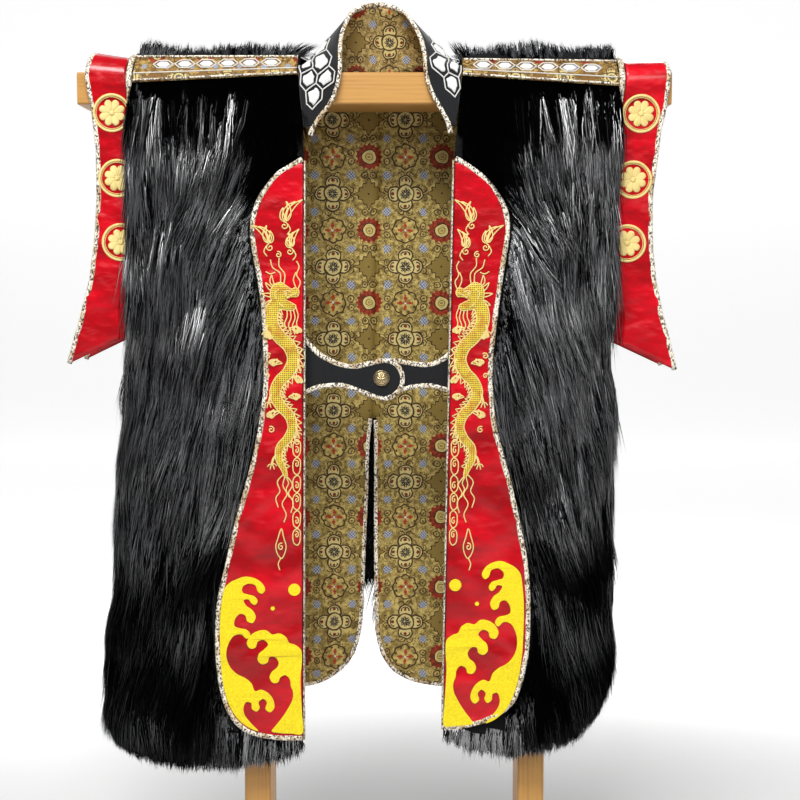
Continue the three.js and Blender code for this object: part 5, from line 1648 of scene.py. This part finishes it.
# each curl's middle, its size, the angle it starts at, its turns and its direction
CURLS = ((5, 752, 4.5, 0.5, 1.3, 1), (44, 745, 4.2, 2.5, 1.3, -1), (40, 652, 4.5, 1.0, 1.3, 1),
         (45, 720, 3.6, 0.2, 1.2, 1), (7, 636, 4.0, 2.0, 1.3, -1), (31, 872, 4.2, 1.2, 1.3, 1))
LINKS, TOP_LINK, LINK_PITCH = 6, 628, 22.5  # the chain beside the fold
LINK = [[3.5, 8], [7, 11], [11.5, 7], [12.5, -1], [11, -8], [7, -10.5], [4, -7], [3, 0]]
PENDANT = [[27, 526], [31, 515], [34, 503], [31, 492], [27, 488], [23, 494], [21, 504],
           [24, 515]]
CORD, CORD_THICK = 1.75, 1.4
LEG, LEG_THICK = 3.2, 1.8
print("flames:", len(LARGE_FLAMES + SMALL_FLAMES), "curls:", len(CURLS), "legs:", len(LEGS))


# %% Flames and fins
def tuft(root, turn, reach, wide, bend):
    """A leaf-shaped lock between two lines that meet in a point."""
    t = np.linspace(0, 1, 12)[:, None]
    heading = turn + bend * t
    spine = np.array(root, float) + reach * t * np.hstack([np.cos(heading), np.sin(heading)])
    beside = np.hstack([-np.sin(heading), np.cos(heading)])
    beside = beside * wide * np.sin(math.pi * t ** 0.7) ** 0.9
    return np.vstack([spine + beside, (spine - beside)[::-1]])


def flames(a, z, size, turn, flip):
    """A blown flame: leaf-shaped tongues from one root, and a curl below them."""
    tongues = ((0.0, 1.0, 0.5), (0.55, 0.72, -0.7), (-0.6, 0.8, 0.9), (-1.15, 0.5, 0.8))
    lines = [tuft((a, z), turn + flip * way, size * long, 2.9, flip * bend)
             for way, long, bend in tongues]
    tail = [[a - flip * 3, z - 4], [a - flip * 6, z - 11], [a - flip * 2, z - 17]]
    return lines + [curl(a + flip * 1.5, z - 6, 5.0, 1.4, 1.3, flip), spline(tail, 1.4)]


def body():
    """The serpent's spine, the way across it and half its width."""
    spine = spline(SERPENT, 1.6)
    t = np.linspace(0, 1, len(spine))
    along = unit(np.gradient(spine, axis=0))
    across = np.column_stack([-along[:, 1], along[:, 0]])
    return spine, along, across, (7.9 * (1 - t) ** 0.36 + 0.6) * smooth((t + 0.1) / 0.14)


def fins(spine, along, across, half):
    lines = [spine + across * half[:, None], spine - across * half[:, None]]
    for k in range(3, len(spine) - 8, 4):
        root, following = (spine[j] - across[j] * half[j] for j in (k, k + 4))
        tip = (root + following) / 2 - across[k + 2] * (3.4 + half[k] * 0.45) + along[k] * 3.2
        lines.append([root, mix(root, tip, 0.6), tip, mix(tip, following, 0.5), following])
    return lines


# %% [markdown]
# Now the cords are laid. The serpent's body is a low ridge of satin stitch between two
# of them, its head a small pillow. The right lapel is narrower, so its drawing is too.

# %% Embroidery
def embroidery(name, side, narrow):
    spine, along, across, half = body()
    shares = np.linspace(-1, 1, 9)
    flat = spine[:, None] + across[:, None] * (half[:, None, None] * shares[None, :, None])
    lift = 0.1 + 1.5 * np.sqrt(1 - 0.9 * shares ** 2)
    top = lapel_face(side, flat[..., 0] * narrow, flat[..., 1], lift[None, :])
    under = lapel_face(side, flat[..., 0] * narrow, flat[..., 1], -0.1)
    points, quads, _ = wall(top, under)
    flat, skull = pillow(spline(SKULL, 1.5, True), np.array([27.0, 818.0]), 2.0)
    head = lapel_face(side, flat[:, 0] * narrow, flat[:, 1], flat[:, 2])
    piece(f"serpent_{name}", *joined([(points, quads), (head, outward(head, skull))]), SCALES,
          "yellow_felt")

    lines = [spline(line, 1.5) for line in FACE] + [disc((22, 822.5), 1.5, 10)]
    raised = len(lines)  # these lie on top of the head
    lines += fins(spine, along, across, half) + [closed_line(SKULL)]
    lines += [spline(line, 1.5) for line in HORNS + WHISKERS + BEARD + FLAMES]
    lines += [tuft((37, 834 - 6.5 * k), 0.9 - 0.42 * k, 15 - 1.2 * abs(k - 2), 2.2, 0.5 - 0.2 * k)
              for k in range(5)]
    for leg in LEGS:
        foot = np.array(leg[-1], float)
        for turn in CLAWS:
            reach = np.array([math.cos(turn), math.sin(turn)])
            lines.append(spline([foot, foot + reach * 4, foot + reach * 6 + (0, -2)], 1.2))
    for place in LARGE_FLAMES:
        lines += flames(*place)
    for place in SMALL_FLAMES:
        lines += flames(*place)[:4]  # the tongues alone
    lines += [curl(*place) for place in CURLS]
    for k in range(LINKS):
        z = TOP_LINK - k * LINK_PITCH
        lines.append(closed_line(np.array(LINK) + (0, z), 1.3))
        lines.append(curl(7.6, z + (3 if k % 2 else -2), 2.9, 1.0, 1.1, 1, 1.7))
    lines += [closed_line(PENDANT, 1.3), curl(27.5, 503, 4.0, 2.0, 1.2, -1, 1.3),
              spline([[28, 488], [31, 481], [29, 473]], 1.3)]

    def cord(line, lift, width, thick, sides):
        flat = np.asarray(line, float) * (narrow, 1)
        path = lapel_face(side, flat[:, 0], flat[:, 1], lift)
        return bead(path, straight_out(path), width, thick, sides)

    parts = [cord(line, 2.0 if k < raised else 0.5, CORD, CORD_THICK, 6)
             for k, line in enumerate(lines)]
    parts += [cord(spline(leg, 1.3), 0.5, LEG, LEG_THICK, 8) for leg in LEGS]
    made = piece(f"embroidery_{name}", *joined(parts), GOLD, "yellow_felt")
    print(made.name, len(lines), "cords,", len(made.data.polygons), "faces")


for name, narrow in (("left", 1.0), ("right", 0.98)):
    embroidery(name, SIDES[name], narrow)


# %% [markdown]
# ## The collar
# The collar is stiffened and stands up behind the neck. It is given by two lines, the
# seam along the neck and the free edge, with a slight bulge between them. Any point
# of it is found from how far along (u) and how far up (v) it lies.

# %% Collar surface
COLLAR_BASE = np.array([
    [-89, -59.5, 1015.5], [-91.5, -59, 1042], [-94.5, -57.5, 1066], [-96.3, -55, 1090],
    [-97.4, -48.5, 1106], [-97.8, -25, 1104.6], [-97.8, 5, 1104.2], [-95, 29, 1104.2],
    [-84, 47, 1104.8], [-66, 51.7, 1099.9], [-40, 52.5, 1094.1], [4, 53, 1087.8],
    [48, 52.5, 1094.1], [76, 51.7, 1099.9], [94, 47, 1104.8], [105, 29, 1104.2],
    [107.8, 5, 1104.2], [107.8, -25, 1104.6], [107.4, -48.5, 1106], [106.4, -55, 1090],
    [104.2, -57.5, 1066], [100.5, -59, 1042], [97.4, -59.5, 1017]])
COLLAR_EDGE = np.array([
    [-79, -61, 1022], [-69, -60, 1040], [-55, -57.5, 1058.5], [-46.5, -53.5, 1079],
    [-42, -50.5, 1103], [-42, -30, 1130], [-42, -10, 1152.5], [-37, 8, 1175], [-30, 21, 1189.5],
    [-21, 29, 1195.5], [-10, 33, 1199], [4, 36, 1200.6], [17, 34, 1198.5], [27, 30, 1194.5],
    [36, 22, 1188], [44, 8, 1174], [52, -9, 1154], [56.5, -29, 1130], [58.5, -50.5, 1106],
    [62, -51.5, 1086.5], [71, -56, 1065.5], [84, -60, 1042], [92, -61, 1026]])
COLLAR_CLOTH = 2.4
COLLAR_BULGE = 7.0
COLLAR_LAST = len(COLLAR_BASE) - 1


def knot_line(knots, u):
    """A smooth line through evenly numbered knots, at the number u."""
    i = int(min(COLLAR_LAST - 1, max(0, math.floor(u))))
    a, b, c, d = (knots[min(COLLAR_LAST, max(0, i + k))] for k in (-1, 0, 1, 2))
    t = u - i
    return 0.5 * (2 * b + (c - a) * t + (2 * a - 5 * b + 4 * c - d) * t ** 2
                  + (3 * b - a - 3 * c + d) * t ** 3)


def collar_point(u, v):
    base, edge = knot_line(COLLAR_BASE, u), knot_line(COLLAR_EDGE, u)
    p = mix(base, edge, v)
    out = unit([p[0] - 5, p[1] + 4, 0])
    bulge = COLLAR_BULGE * min(1, math.dist(base, edge) / 60) * math.sin(math.pi * v)
    front = float(smooth((-p[1] - 30) / 25))
    upright = 9.0 * math.exp(-((abs(u - 11) - 5.7) / 1.1) ** 2) * math.sin(math.pi * v) ** 0.8
    return p + np.array([out[0] * bulge * (1 - front),
                         mix(out[1], -0.4, front) * bulge - upright, 0])


def collar_normal(u, v):
    a, b = collar_point(max(0, u - 0.5), v), collar_point(min(COLLAR_LAST, u + 0.5), v)
    c, d = collar_point(u, max(0, v - 0.2)), collar_point(u, min(1, v + 0.2))
    n = unit(np.cross(b - a, d - c))
    return n if np.dot(n, collar_point(u, v) - (5, -4, 1120)) > 0 else -n


def collar_height(u):
    a, b = collar_point(u, 0), collar_point(u, 1)
    edge = unit(collar_point(min(COLLAR_LAST, u + 0.5), 1) - collar_point(max(0, u - 0.5), 1))
    return np.linalg.norm(np.cross(b - a, edge))


def collar_layer(name, depth, thick, finish, slot, stands_for, start=0.0):
    outer, inner = [], []
    for u in np.linspace(0.6, COLLAR_LAST - 0.6, 110):
        top = 1 - 0.5 * PIPING / collar_height(u)
        row = [(collar_point(u, v), collar_normal(u, v)) for v in np.linspace(start, top, 12)]
        outer.append([p - n * depth for p, n in row])
        inner.append([p - n * (depth + thick) for p, n in row])
    points, quads, big = wall(np.array(outer), np.array(inner))
    return piece(name, points, quads, finish, slot, stands_for, big)


shell = collar_layer("collar_wool", 0.0, COLLAR_CLOTH, WOOL, "black_wool", ["collar_outer"])
inside = collar_layer("collar_silk", COLLAR_CLOTH + 0.3, 1.0, COLLAR_SILK, "brocade",
                      ["collar_lining"], 0.05)
for made, on in ((shell, "stand_beam"), (inside, "collar_wool")):
    print(made.name, "covers", round(flat_area(made), 4), "square metres")

# %% [markdown]
# The same bead of piping that edges the fronts runs along the collar's free edge.

# %% Collar piping
path, normals = [], []
for u in np.linspace(0, COLLAR_LAST, 150):
    v = max(0.7, 1 - PIPING / 2 / collar_height(u))
    n = collar_normal(u, v)
    path.append(collar_point(u, v) - n * 2)
    normals.append(n)
piping("piping_collar", path, normals, PIPING, PIPING_THICK + 1.2, "collar_piping")

# %% [markdown]
# ### The honeycomb
# Padded white hexagons are sewn on the collar, each inside a cell of thin white cord,
# and neighbours share a cord. We list the corners of each cell by u and v, so the
# pattern bends with the collar. A pad is a small dome inside its cell, with softened
# corners, so it reads as stuffed felt.

# %% Honeycomb cells
MEET = [3.88, 0.338], [3.47, 0.46], [2.96, 0.44], [2.41, 0.18], [16.85, 0.47], [18.53, 0.348]
CELLS = [
    [MEET[2], [2.69, 0.62], [2.17, 0.658], [1.5, 0.45], [1.75, 0.215], MEET[3]],
    [MEET[0], MEET[1], MEET[2], MEET[3], [2.69, 0.035], [3.35, 0.068]],
    [[4.12, 0.708], [3.82, 0.838], [3.27, 0.842], [2.69, 0.62], MEET[2], MEET[1]],
    [[5.38, 0.723], [4.7, 0.808], [4.12, 0.708], MEET[1], MEET[0], [5.39, 0.49]],
    [[6.1, 0.40], [5.39, 0.49], MEET[0], [3.35, 0.068], [3.9, 0.02], [5.0, 0.08]],
    [[7.02, 0.665], [6.35, 0.758], [5.38, 0.723], [5.39, 0.49], [6.1, 0.40], [6.85, 0.50]],
    [MEET[5], [18.89, 0.082], [19.5, 0.01], [19.94, 0.173], [19.5, 0.468], [18.82, 0.483]],
    [[16.85, 0.725], MEET[4], MEET[5], [18.82, 0.483], [18.11, 0.765], [17.42, 0.838]],
    [[15.85, 0.723], [15.6, 0.55], MEET[4], [16.85, 0.725], [16.34, 0.79]],
    [MEET[4], [16.3, 0.34], [17.2, 0.04], [18.5, 0.02], [18.89, 0.082], MEET[5]],
    [[15.0, 0.70], [15.2, 0.55], [16.3, 0.34], MEET[4], [15.6, 0.55], [15.85, 0.723]]]


def hexagon(count):
    """Points round a six-sided outline of radius 1, count on each side."""
    corners = np.arange(7) * math.pi / 3
    ring = np.column_stack([np.cos(corners), np.sin(corners)])
    return np.vstack([mix(ring[k], ring[k + 1], np.linspace(0, 1, count, endpoint=False)[:, None])
                      for k in range(6)])


def on_collar(place, high):
    return collar_point(*place) + collar_normal(*place) * high


def cell_pad(corners, wobble):
    """A stuffed pad that follows the collar inside one cell."""
    corners = np.array(corners, float)
    middle = corners.mean(0)
    sides = np.linspace(0, len(corners), 24, endpoint=False)
    straight = np.array([mix(corners[int(t)], corners[(int(t) + 1) % len(corners)], t % 1)
                         for t in sides])
    rough = 1 + 0.07 * np.sin(sides * 2.9 + wobble) + 0.05 * np.sin(sides * 5.3 + 2 * wobble)
    rings = []
    for grow, high in ((0.66, -0.5), (0.66, 0.6), (0.61, 1.3), (0.48, 1.75), (0.25, 2.0)):
        flat = middle + (straight - middle) * (grow * rough)[:, None]
        rings.append([on_collar((u, v), high) for u, v in flat])
    return capped(rings, on_collar(middle, 2.05), on_collar(middle, -0.5))


def dome(centre, first, second, out, long, wide, rise):
    """A stuffed hexagon as points and quads."""
    rings = []
    for grow, high in ((1.0, -0.6), (1.0, 0.35), (0.93, 0.8), (0.74, 0.97), (0.4, 1.06)):
        ring = hexagon(4) * grow
        if grow < 0.9:
            ring = mix(ring, unit(ring) * grow * 0.93, 0.6)
        rings.append(centre + ring[:, :1] * long * first + ring[:, 1:] * wide * second
                     + out * high * rise)
    return capped(rings, centre + out * rise * 1.08, centre - out * rise * 0.6)


def ring_cord(centre, first, second, out, long, wide, radius):
    line = hexagon(5)
    line = np.vstack([line, line[:1]])
    path = centre + line[:, :1] * long * first + line[:, 1:] * wide * second + out * radius * 0.8
    return bead(path, np.tile(out, (len(path), 1)), 2 * radius, 2 * radius, 8)


# %% Honeycomb pads and cords
pads = [cell_pad(corners, k) for k, corners in enumerate(CELLS)]
edges = {tuple(sorted((tuple(a), tuple(b)))) for c in CELLS for a, b in zip(c, c[1:] + c[:1])}
cords = []
for a, b in sorted(edges):
    line = mix(np.array(a), np.array(b), np.linspace(-0.02, 1.02, 9)[:, None])
    path = [on_collar(place, 0.7) for place in line]
    cords.append(bead(path, [collar_normal(*place) for place in line], 1.7, 1.7, 8))
piece("collar_pads", *joined(pads), WHITE_FELT, "black_wool")
piece("collar_cords", *joined(cords), WHITE_CORD, "black_wool")
print("collar pads:", len(pads), "cords:", len(cords))


# %% [markdown]
# ## The shoulder strips
# A strip of the brocade covers the shoulder seam. White cord edges it, and a row of
# the same padded hexagons runs along its upper half.

# %% Shoulder strips
STRIP = 1.8
STRIP_LIFT = np.array([0, -0.7, 0.7])  # off the sloping shoulder
STRIP_PADS = 6


def strip(name, side):
    neck, end = float(at(side["fold"], 1100)) + 0.6, float(at(side["edge"], 1100)) - 0.4
    stations = np.linspace(neck, end, 60)
    high, middle, low = shoulder_rows(side, stations)
    lines = [mix(high, middle, t) for t in (0, 0.33, 0.67)]
    lines += [mix(middle, low, t) for t in (0, 0.33, 0.67, 1)]
    grid = np.array(lines) * (side["sign"], 1, 1)
    ripple = 0.25 * np.sin(grid[..., :1] * 0.21) * STRIP_LIFT
    points, quads, big = wall(grid + STRIP_LIFT * (SEAM + STRIP) + ripple,
                              grid + STRIP_LIFT * SEAM)
    base = piece(f"strip_silk_{name}", points, quads, STRIP_SILK, "brocade",
                 [f"shoulder_strip_{name}"], big)
    pads, cords, rims = [], [], []
    first, out = np.array([1.0, 0, 0]), np.array([0, -0.7071, 0.7071])
    second = np.cross(out, first)
    for k in range(STRIP_PADS):
        x = neck + side["strip_start"] + k * STRIP_PITCH
        t = (x - neck) / (end - neck)
        a = mix(*(np.array(p, float) for p in side["strip_low"]), t)
        b = mix(*(np.array(p, float) for p in side["strip_high"]), t)
        y, z = mix(a, b, 0.62) + STRIP_LIFT[1:] * (SEAM + 2.6)
        centre = np.array([side["sign"] * x, y, z])
        pads.append(dome(centre, first, second, out, 8.6, 5.9, 1.5))
        rims.append(ring_cord(centre, first, second, out, 12.6, 8.6, 0.85))
    for share, radius in ((0.975, 1.5), (0.30, 0.8), (0.03, 1.3)):
        row = mix(low, high, share)
        bulge = 0.8 * math.sin(math.pi * share)
        row = row * (side["sign"], 1, 1) + STRIP_LIFT * (SEAM + STRIP + bulge + radius * 0.5)
        cords.append(bead(row, np.tile(out, (len(row), 1)), 2 * radius, 2 * radius, 8))
    piece(f"strip_pads_{name}", *joined(pads), WHITE_FELT, "brocade")
    piece(f"strip_cords_{name}", *joined(cords[1:2] + rims), WHITE_CORD, "brocade")
    piece(f"strip_edge_{name}", *joined(cords[::2]), PIPED, "piping")


for name, side in SIDES.items():
    strip(name, side)


# %% [markdown]
# ## Armholes and wings
# A bead of the same piping goes round each armhole. From it hangs a wing of red
# leather, open below, that falls in front of and behind the beam's end. Each wing is
# a band between two paths that go up the front, over the shoulder and down the back.

# %% Armhole piping
def armhole(name, side):
    half = [[-49, 868], [-49, 879], [-49, 940], [-49, 1004], [-49, 1042], [-53, 1076],
            [-57.5, 1092], [-45, 1106], [-30, 1117], [-12, 1124]]
    arch = half + [[-y, z] for y, z in reversed(half)]
    path = []
    for y, z in arch:
        drop = side["armhole_drop"] * (z - 1060) / 60 if z > 1060 else 0
        path.append([side["sign"] * (float(at(side["edge"], z)) + 4.4), y, z - drop])
    normals = [[0, y / 60, 1] if z > 1085 else [0, math.copysign(1, y), 0] for y, z in arch]
    both = spline(np.hstack([path, normals]), 5.0)
    piping(f"piping_armhole_{name}", both[:, :3], both[:, 3:], 7.2, 4.8,
           f"armhole_piping_{name}")


# %% [markdown]
# The leather of a wing swings a little and keeps soft creases below the shoulder. The
# badges will need to know where its face lies, so that has a function of its own.

# %% Wings
WING_LEVEL = -46.8  # y of the front of a wing where it leaves the shoulder


def wing_sway(t):
    """How far the wing swings, where t runs from 0 at its hem to 1 at the shoulder."""
    return 2.5 * (1 - t) * np.sin(5 * t)


def wing_paths(side, outset):
    inner, outer = [], []
    deep, tip = side["sleeve_hem"]
    for t in np.linspace(0, 1, 40):
        zi, zo = mix(deep, SHOULDER, t), mix(tip, SHOULDER, t)
        sway = wing_sway(t)
        inner.append([float(at(side["sleeve_in"], zi)), WING_LEVEL - 0.4 * sway, zi])
        outer.append([float(at(side["sleeve_out"], zo)) - outset,
                      WING_LEVEL - sway - 4 * (1 - t) ** 2, zo])
    tops = [spline(line, 4.0) for line in side["sleeve_top"]]
    count = 10
    for k in range(count + 1):
        for line, top, edge, less in ((inner, tops[0], "sleeve_in", 0),
                                      (outer, tops[1], "sleeve_out", outset)):
            spot = k / count * (len(top) - 1)
            low = min(int(spot), len(top) - 2)
            y, z = mix(top[low], top[low + 1], spot - low)
            line.append([float(at(side[edge], z)) - less, y, z])
    mirrored = [line + [[x, -y, z] for x, y, z in reversed(line[:-1])] for line in (inner, outer)]
    return [np.array(line) for line in mirrored]


def wing_normals(path):
    along = np.gradient(path, axis=0)
    return unit(np.column_stack([np.zeros(len(path)), -along[:, 2], along[:, 1]]))


def wing_creases(x, z):
    soft = np.sin(z * 0.11 + x * 0.05 + np.sin(z * 0.04)) * np.sin(z * 0.024 + 1)
    soft = soft + 0.5 * np.sin(z * 0.23 - x * 0.15)
    return soft * smooth((1085 - z) / 60)


def wing_level(side, x, z):
    """How far forward the face of a wing lies at a place below the shoulder."""
    deep, tip = (((z - low) / (SHOULDER - low)).clip(0, 1) for low in side["sleeve_hem"])
    near = WING_LEVEL - 0.4 * wing_sway(deep)
    far = WING_LEVEL - wing_sway(tip) - 4 * (1 - tip) ** 2
    inner, outer = at(side["sleeve_in"], z), at(side["sleeve_out"], z)
    y = mix(near, far, ((x - inner) / (outer - inner)).clip(0, 1))
    return y - 5.2 * ((z - SHOULDER) / 18).clip(0, 1) - LEATHER - 0.6 - 1.05 * wing_creases(x, z)


def wing(name, side):
    inner, outer = wing_paths(side, PIPING * 0.5)
    stops = np.linspace(0, 1, 16)
    grid = mix(inner[:, None], outer[:, None], stops[None, :, None])
    normals = wing_normals(inner)[:, None]
    soft = wing_creases(grid[..., :1], grid[..., 2:])
    lifted = grid + normals * (LEATHER + 0.6 + 0.75 * soft)
    under = grid + normals * (0.1 + 0.5 * soft)
    flip = (side["sign"], 1, 1)
    points, quads, big = wall(lifted * flip, under * flip)
    made = piece(f"leather_wing_{name}", points, quads, LEATHER_RED, "red_leather",
                 [f"sleeve_{name}"], big)
    print(made.name, "covers", round(flat_area(made), 4), "square metres")
    _, edge = wing_paths(side, PIPING / 2)
    normals = wing_normals(edge)
    piping(f"piping_wing_{name}", (edge + normals) * flip, normals, PIPING, PIPING_THICK + 0.6,
           f"sleeve_piping_{name}")


for name, side in SIDES.items():
    armhole(name, side)
    wing(name, side)


# %% [markdown]
# ### Roundels on the wings
# Three round badges are embroidered on the front of each wing. On coats like this they
# carry a family's crest. Ours are neutral: a corded ring round a plain flower of eight
# petals. Each petal is a small padded shape, as in satin stitch, with a ridge down it.

# %% Roundels
PETALS, PETAL_LONG = 8, 14.5
SATIN, EYE = 1.5, 2.2  # how far the petals and the eye stand out
RING_CORDS = ((22.3, 3.4), (19.6, 1.0))  # radius and width


def petal(count=22):
    """Outline of a petal that points along x, from 0 to 1."""
    t = np.linspace(0, math.tau, count, endpoint=False)
    return np.column_stack([0.52 - 0.48 * np.cos(t), 0.27 * np.sin(t) * (1.15 - 0.35 * np.cos(t))])


def roundel(side, x, z):
    def placed(points):
        a, b, high = points.T
        y = wing_level(side, x + a, z + b) - 0.1 - high
        return np.column_stack([side["sign"] * (x + a), y, z + b])

    pillows = []
    for k in range(PETALS):
        turn = k * math.tau / PETALS + math.pi / 8
        spin = np.array([[math.cos(turn), math.sin(turn)], [-math.sin(turn), math.cos(turn)]])
        outline = (petal() * PETAL_LONG + (2.2, 0)) @ spin
        pillows.append(pillow(outline, np.array([9.5, 0.0]) @ spin, SATIN))
    pillows.append(pillow(disc((0, 0), 3.4, 20), np.zeros(2), EYE))
    parts = [(placed(flat), outward(placed(flat), quads)) for flat, quads in pillows]
    for radius, width in RING_CORDS:
        ring = disc((0, 0), radius, 65)
        ring = np.vstack([ring, ring[:2]])
        path = placed(np.column_stack([ring, np.full(len(ring), 0.5)]))
        parts.append(bead(path, straight_out(path), width, 1.9, 8))
    return parts


for name, side in SIDES.items():
    badges = [part for x, z in side["crests"] for part in roundel(side, x, z)]
    made = piece(f"roundels_{name}", *joined(badges), GOLD, "yellow_felt")
    print(made.name, len(made.data.polygons), "faces")

# %% [markdown]
# ## The tab
# Two short tongues of black wool close the coat at the waist, the left one over the
# right. Both are edged with the piping, and a domed brass button holds them.

# %% Tabs
TAB_LINES = {
    "left": ([[-108, 772], [-92, 770], [-71, 750], [-46, 737.3], [-27, 734.6], [-8, 738.4],
              [11, 742], [22, 739.5], [30.5, 732.5], [35.6, 722]],
             [[-108, 693], [-92, 695.2], [-71, 702.5], [-46, 704.6], [-27, 699.5], [-8, 692],
              [7, 687.6], [20, 690], [29.5, 697.5], [35.6, 709]]),
    "right": ([[-8, 731], [-2, 737], [8, 740], [24, 741.6], [43, 738.2], [68, 736.9],
               [87, 746], [98, 762], [112, 765]],
              [[-8, 712], [-2, 704], [8, 700], [24, 698], [49, 702.7], [62, 704], [74, 702.7],
               [96, 696.3], [112, 694]])}
TAB_CLOTH = 2.6
TAB_LEVEL = {"left": -55.2, "right": -51.3}
BUTTON = (6.5, 716.8)


def tab_y(x, base):
    return mix(-49.3, base, smooth((91 - np.abs(x - 3)) / 26))


def tab(name, lines):
    flip = name == "right"
    sign = -1 if flip else 1
    turned = [[[sign * x, z] for x, z in (line[::-1] if flip else line)] for line in lines]
    loop = spline(turned[0] + turned[1][::-1], 2.5)
    half = len(loop) // 2
    inner = offset(loop, -PIPING * 0.5)
    count = 60
    upper = inner[:half][np.linspace(0, half - 1, count).astype(int)]
    under = inner[half:][::-1][np.linspace(0, len(inner) - half - 1, count).astype(int)]
    grid = mix(upper[:, None], under[:, None], np.linspace(0, 1, 12)[None, :, None])
    x = sign * grid[..., 0]
    face = np.stack([x, tab_y(x, TAB_LEVEL[name]), grid[..., 1]], -1)
    points, quads, big = wall(face, face + (0, TAB_CLOTH, 0))
    made = piece(f"tab_wool_{name}", points, quads, WOOL, "black_wool", [f"tab_{name}"], big)
    print(made.name, "covers", round(flat_area(made), 4), "square metres")
    line = offset(loop, -PIPING / 2)
    x = sign * line[:, 0]
    path = np.column_stack([x, tab_y(x, TAB_LEVEL[name]) + 1.1, line[:, 1]])
    piping(f"piping_tab_{name}", path, straight_out(path), PIPING, 4.0, f"tab_piping_{name}")


for name, lines in TAB_LINES.items():
    tab(name, lines)

# %% [markdown]
# The button is cast: a rounded rim, a beaded ring and a small star of petals in the
# middle. A lathe gives the dome and a wave round its axis the beads and petals.

# %% Button
BUTTON_RADIUS = 10.3
BUTTON_RISE = 6.5
BUTTON_BACK = TAB_LEVEL["left"] - 0.3


def button():
    turn = np.linspace(0, math.tau, 96, endpoint=False)
    rows = []
    for s in np.linspace(0, 1, 40)[1:]:
        high = BUTTON_RISE * (1 - s ** 2.6)
        beads = 0.35 * math.exp(-((s - 0.72) / 0.06) ** 2) * np.cos(turn * 20)
        star = 0.55 * math.exp(-((s - 0.34) / 0.16) ** 2) * np.cos(turn * 8)
        groove = -0.5 * math.exp(-((s - 0.58) / 0.04) ** 2)
        groove -= 0.4 * math.exp(-((s - 0.88) / 0.03) ** 2)
        r = BUTTON_RADIUS * s
        rows.append(np.column_stack([BUTTON[0] + r * np.cos(turn),
                                     BUTTON_BACK - (high + beads + star + groove),
                                     BUTTON[1] + r * np.sin(turn)]))
    rows[-1][:, 1] = BUTTON_BACK
    points, faces = capped(rows, [BUTTON[0], BUTTON_BACK, BUTTON[1]],
                           [BUTTON[0], BUTTON_BACK - BUTTON_RISE - 0.3, BUTTON[1]])
    piece("brass_button", points, faces, BRASS, "brass", ["button"])


button()

# %% [markdown]
# ## Floor, wall and lamps
# The sheet behind is far enough away for no shadow to fall on it, and it glows a
# little, as a lit background does. One broad lamp hangs in front and above on the
# left, a weaker one near the middle and a faint one on the right soften its shadows,
# and a fourth lights the back, since the coat is looked at from all sides.

# %% Studio
FLOOR_END = 12.0
WALL_AT = 7.0
WALL_TOP = 7.0
SWEEP = 1.5
SKYLIGHT = 0.10


def backdrop():
    profile = [(-FLOOR_END, 0.0), (WALL_AT - SWEEP, 0.0)]
    profile += [(WALL_AT - SWEEP + SWEEP * math.sin(t), SWEEP - SWEEP * math.cos(t))
                for t in np.linspace(0, math.pi / 2, 14)[1:]]
    profile.append((WALL_AT, WALL_TOP))
    points = [(x, y, z) for y, z in profile for x in (-FLOOR_END, FLOOR_END)]
    faces = [(2 * k, 2 * k + 1, 2 * k + 3, 2 * k + 2) for k in range(len(profile) - 1)]
    mesh = bpy.data.meshes.new("backdrop")
    mesh.from_pydata(points, [], faces)
    mesh.polygons.foreach_set("use_smooth", np.ones(len(faces), bool))
    paper = Finish("paper", Base_Color=(0.8, 0.8, 0.8, 1), Roughness=0.9, Emission_Strength=0.6)
    behind = paper.axes()[1].between(0.25, 1.3)
    paper.uses(Emission_Color=behind.blend((0, 0, 0), (1, 1, 1)))
    mesh.materials.append(paper.material)
    made = shown("backdrop", mesh)
    made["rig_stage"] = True


def lamp(name, place, target, size, watts):
    data = bpy.data.lights.new(name, "AREA")
    data.shape, data.size, data.size_y = "RECTANGLE", *size
    data.energy = watts
    made = shown(name, data)
    made.location = place
    way = np.array(target, float) - place
    made.rotation_euler = (math.atan2(np.hypot(way[0], way[1]), -way[2]), 0,
                           math.atan2(way[1], way[0]) - math.pi / 2)


backdrop()
bpy.context.scene.view_settings.view_transform = "Standard"
lamp("key", (-0.55, -1.75, 3.2), (0, 0, 0.75), (1.5, 0.7), 104)
lamp("front", (0.35, -2.6, 2.35), (0, 0, 0.7), (1.3, 0.6), 24)
lamp("fill", (1.9, -2.3, 1.6), (0, 0, 0.7), (0.8, 1.4), 10)
lamp("rear", (0.8, 2.0, 2.2), (0, 0, 0.8), (1.6, 1.2), 28)
world = bpy.data.worlds.new("studio")
world.use_nodes = True
sky = world.node_tree.nodes["Background"]
sky.inputs["Color"].default_value = (1, 1, 1, 1)
sky.inputs["Strength"].default_value = SKYLIGHT
bpy.context.scene.world = world

# %% Finish
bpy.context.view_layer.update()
triangles = sum(len(face.vertices) - 2 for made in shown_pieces() for face in made.data.polygons)
print("triangles in all:", triangles)
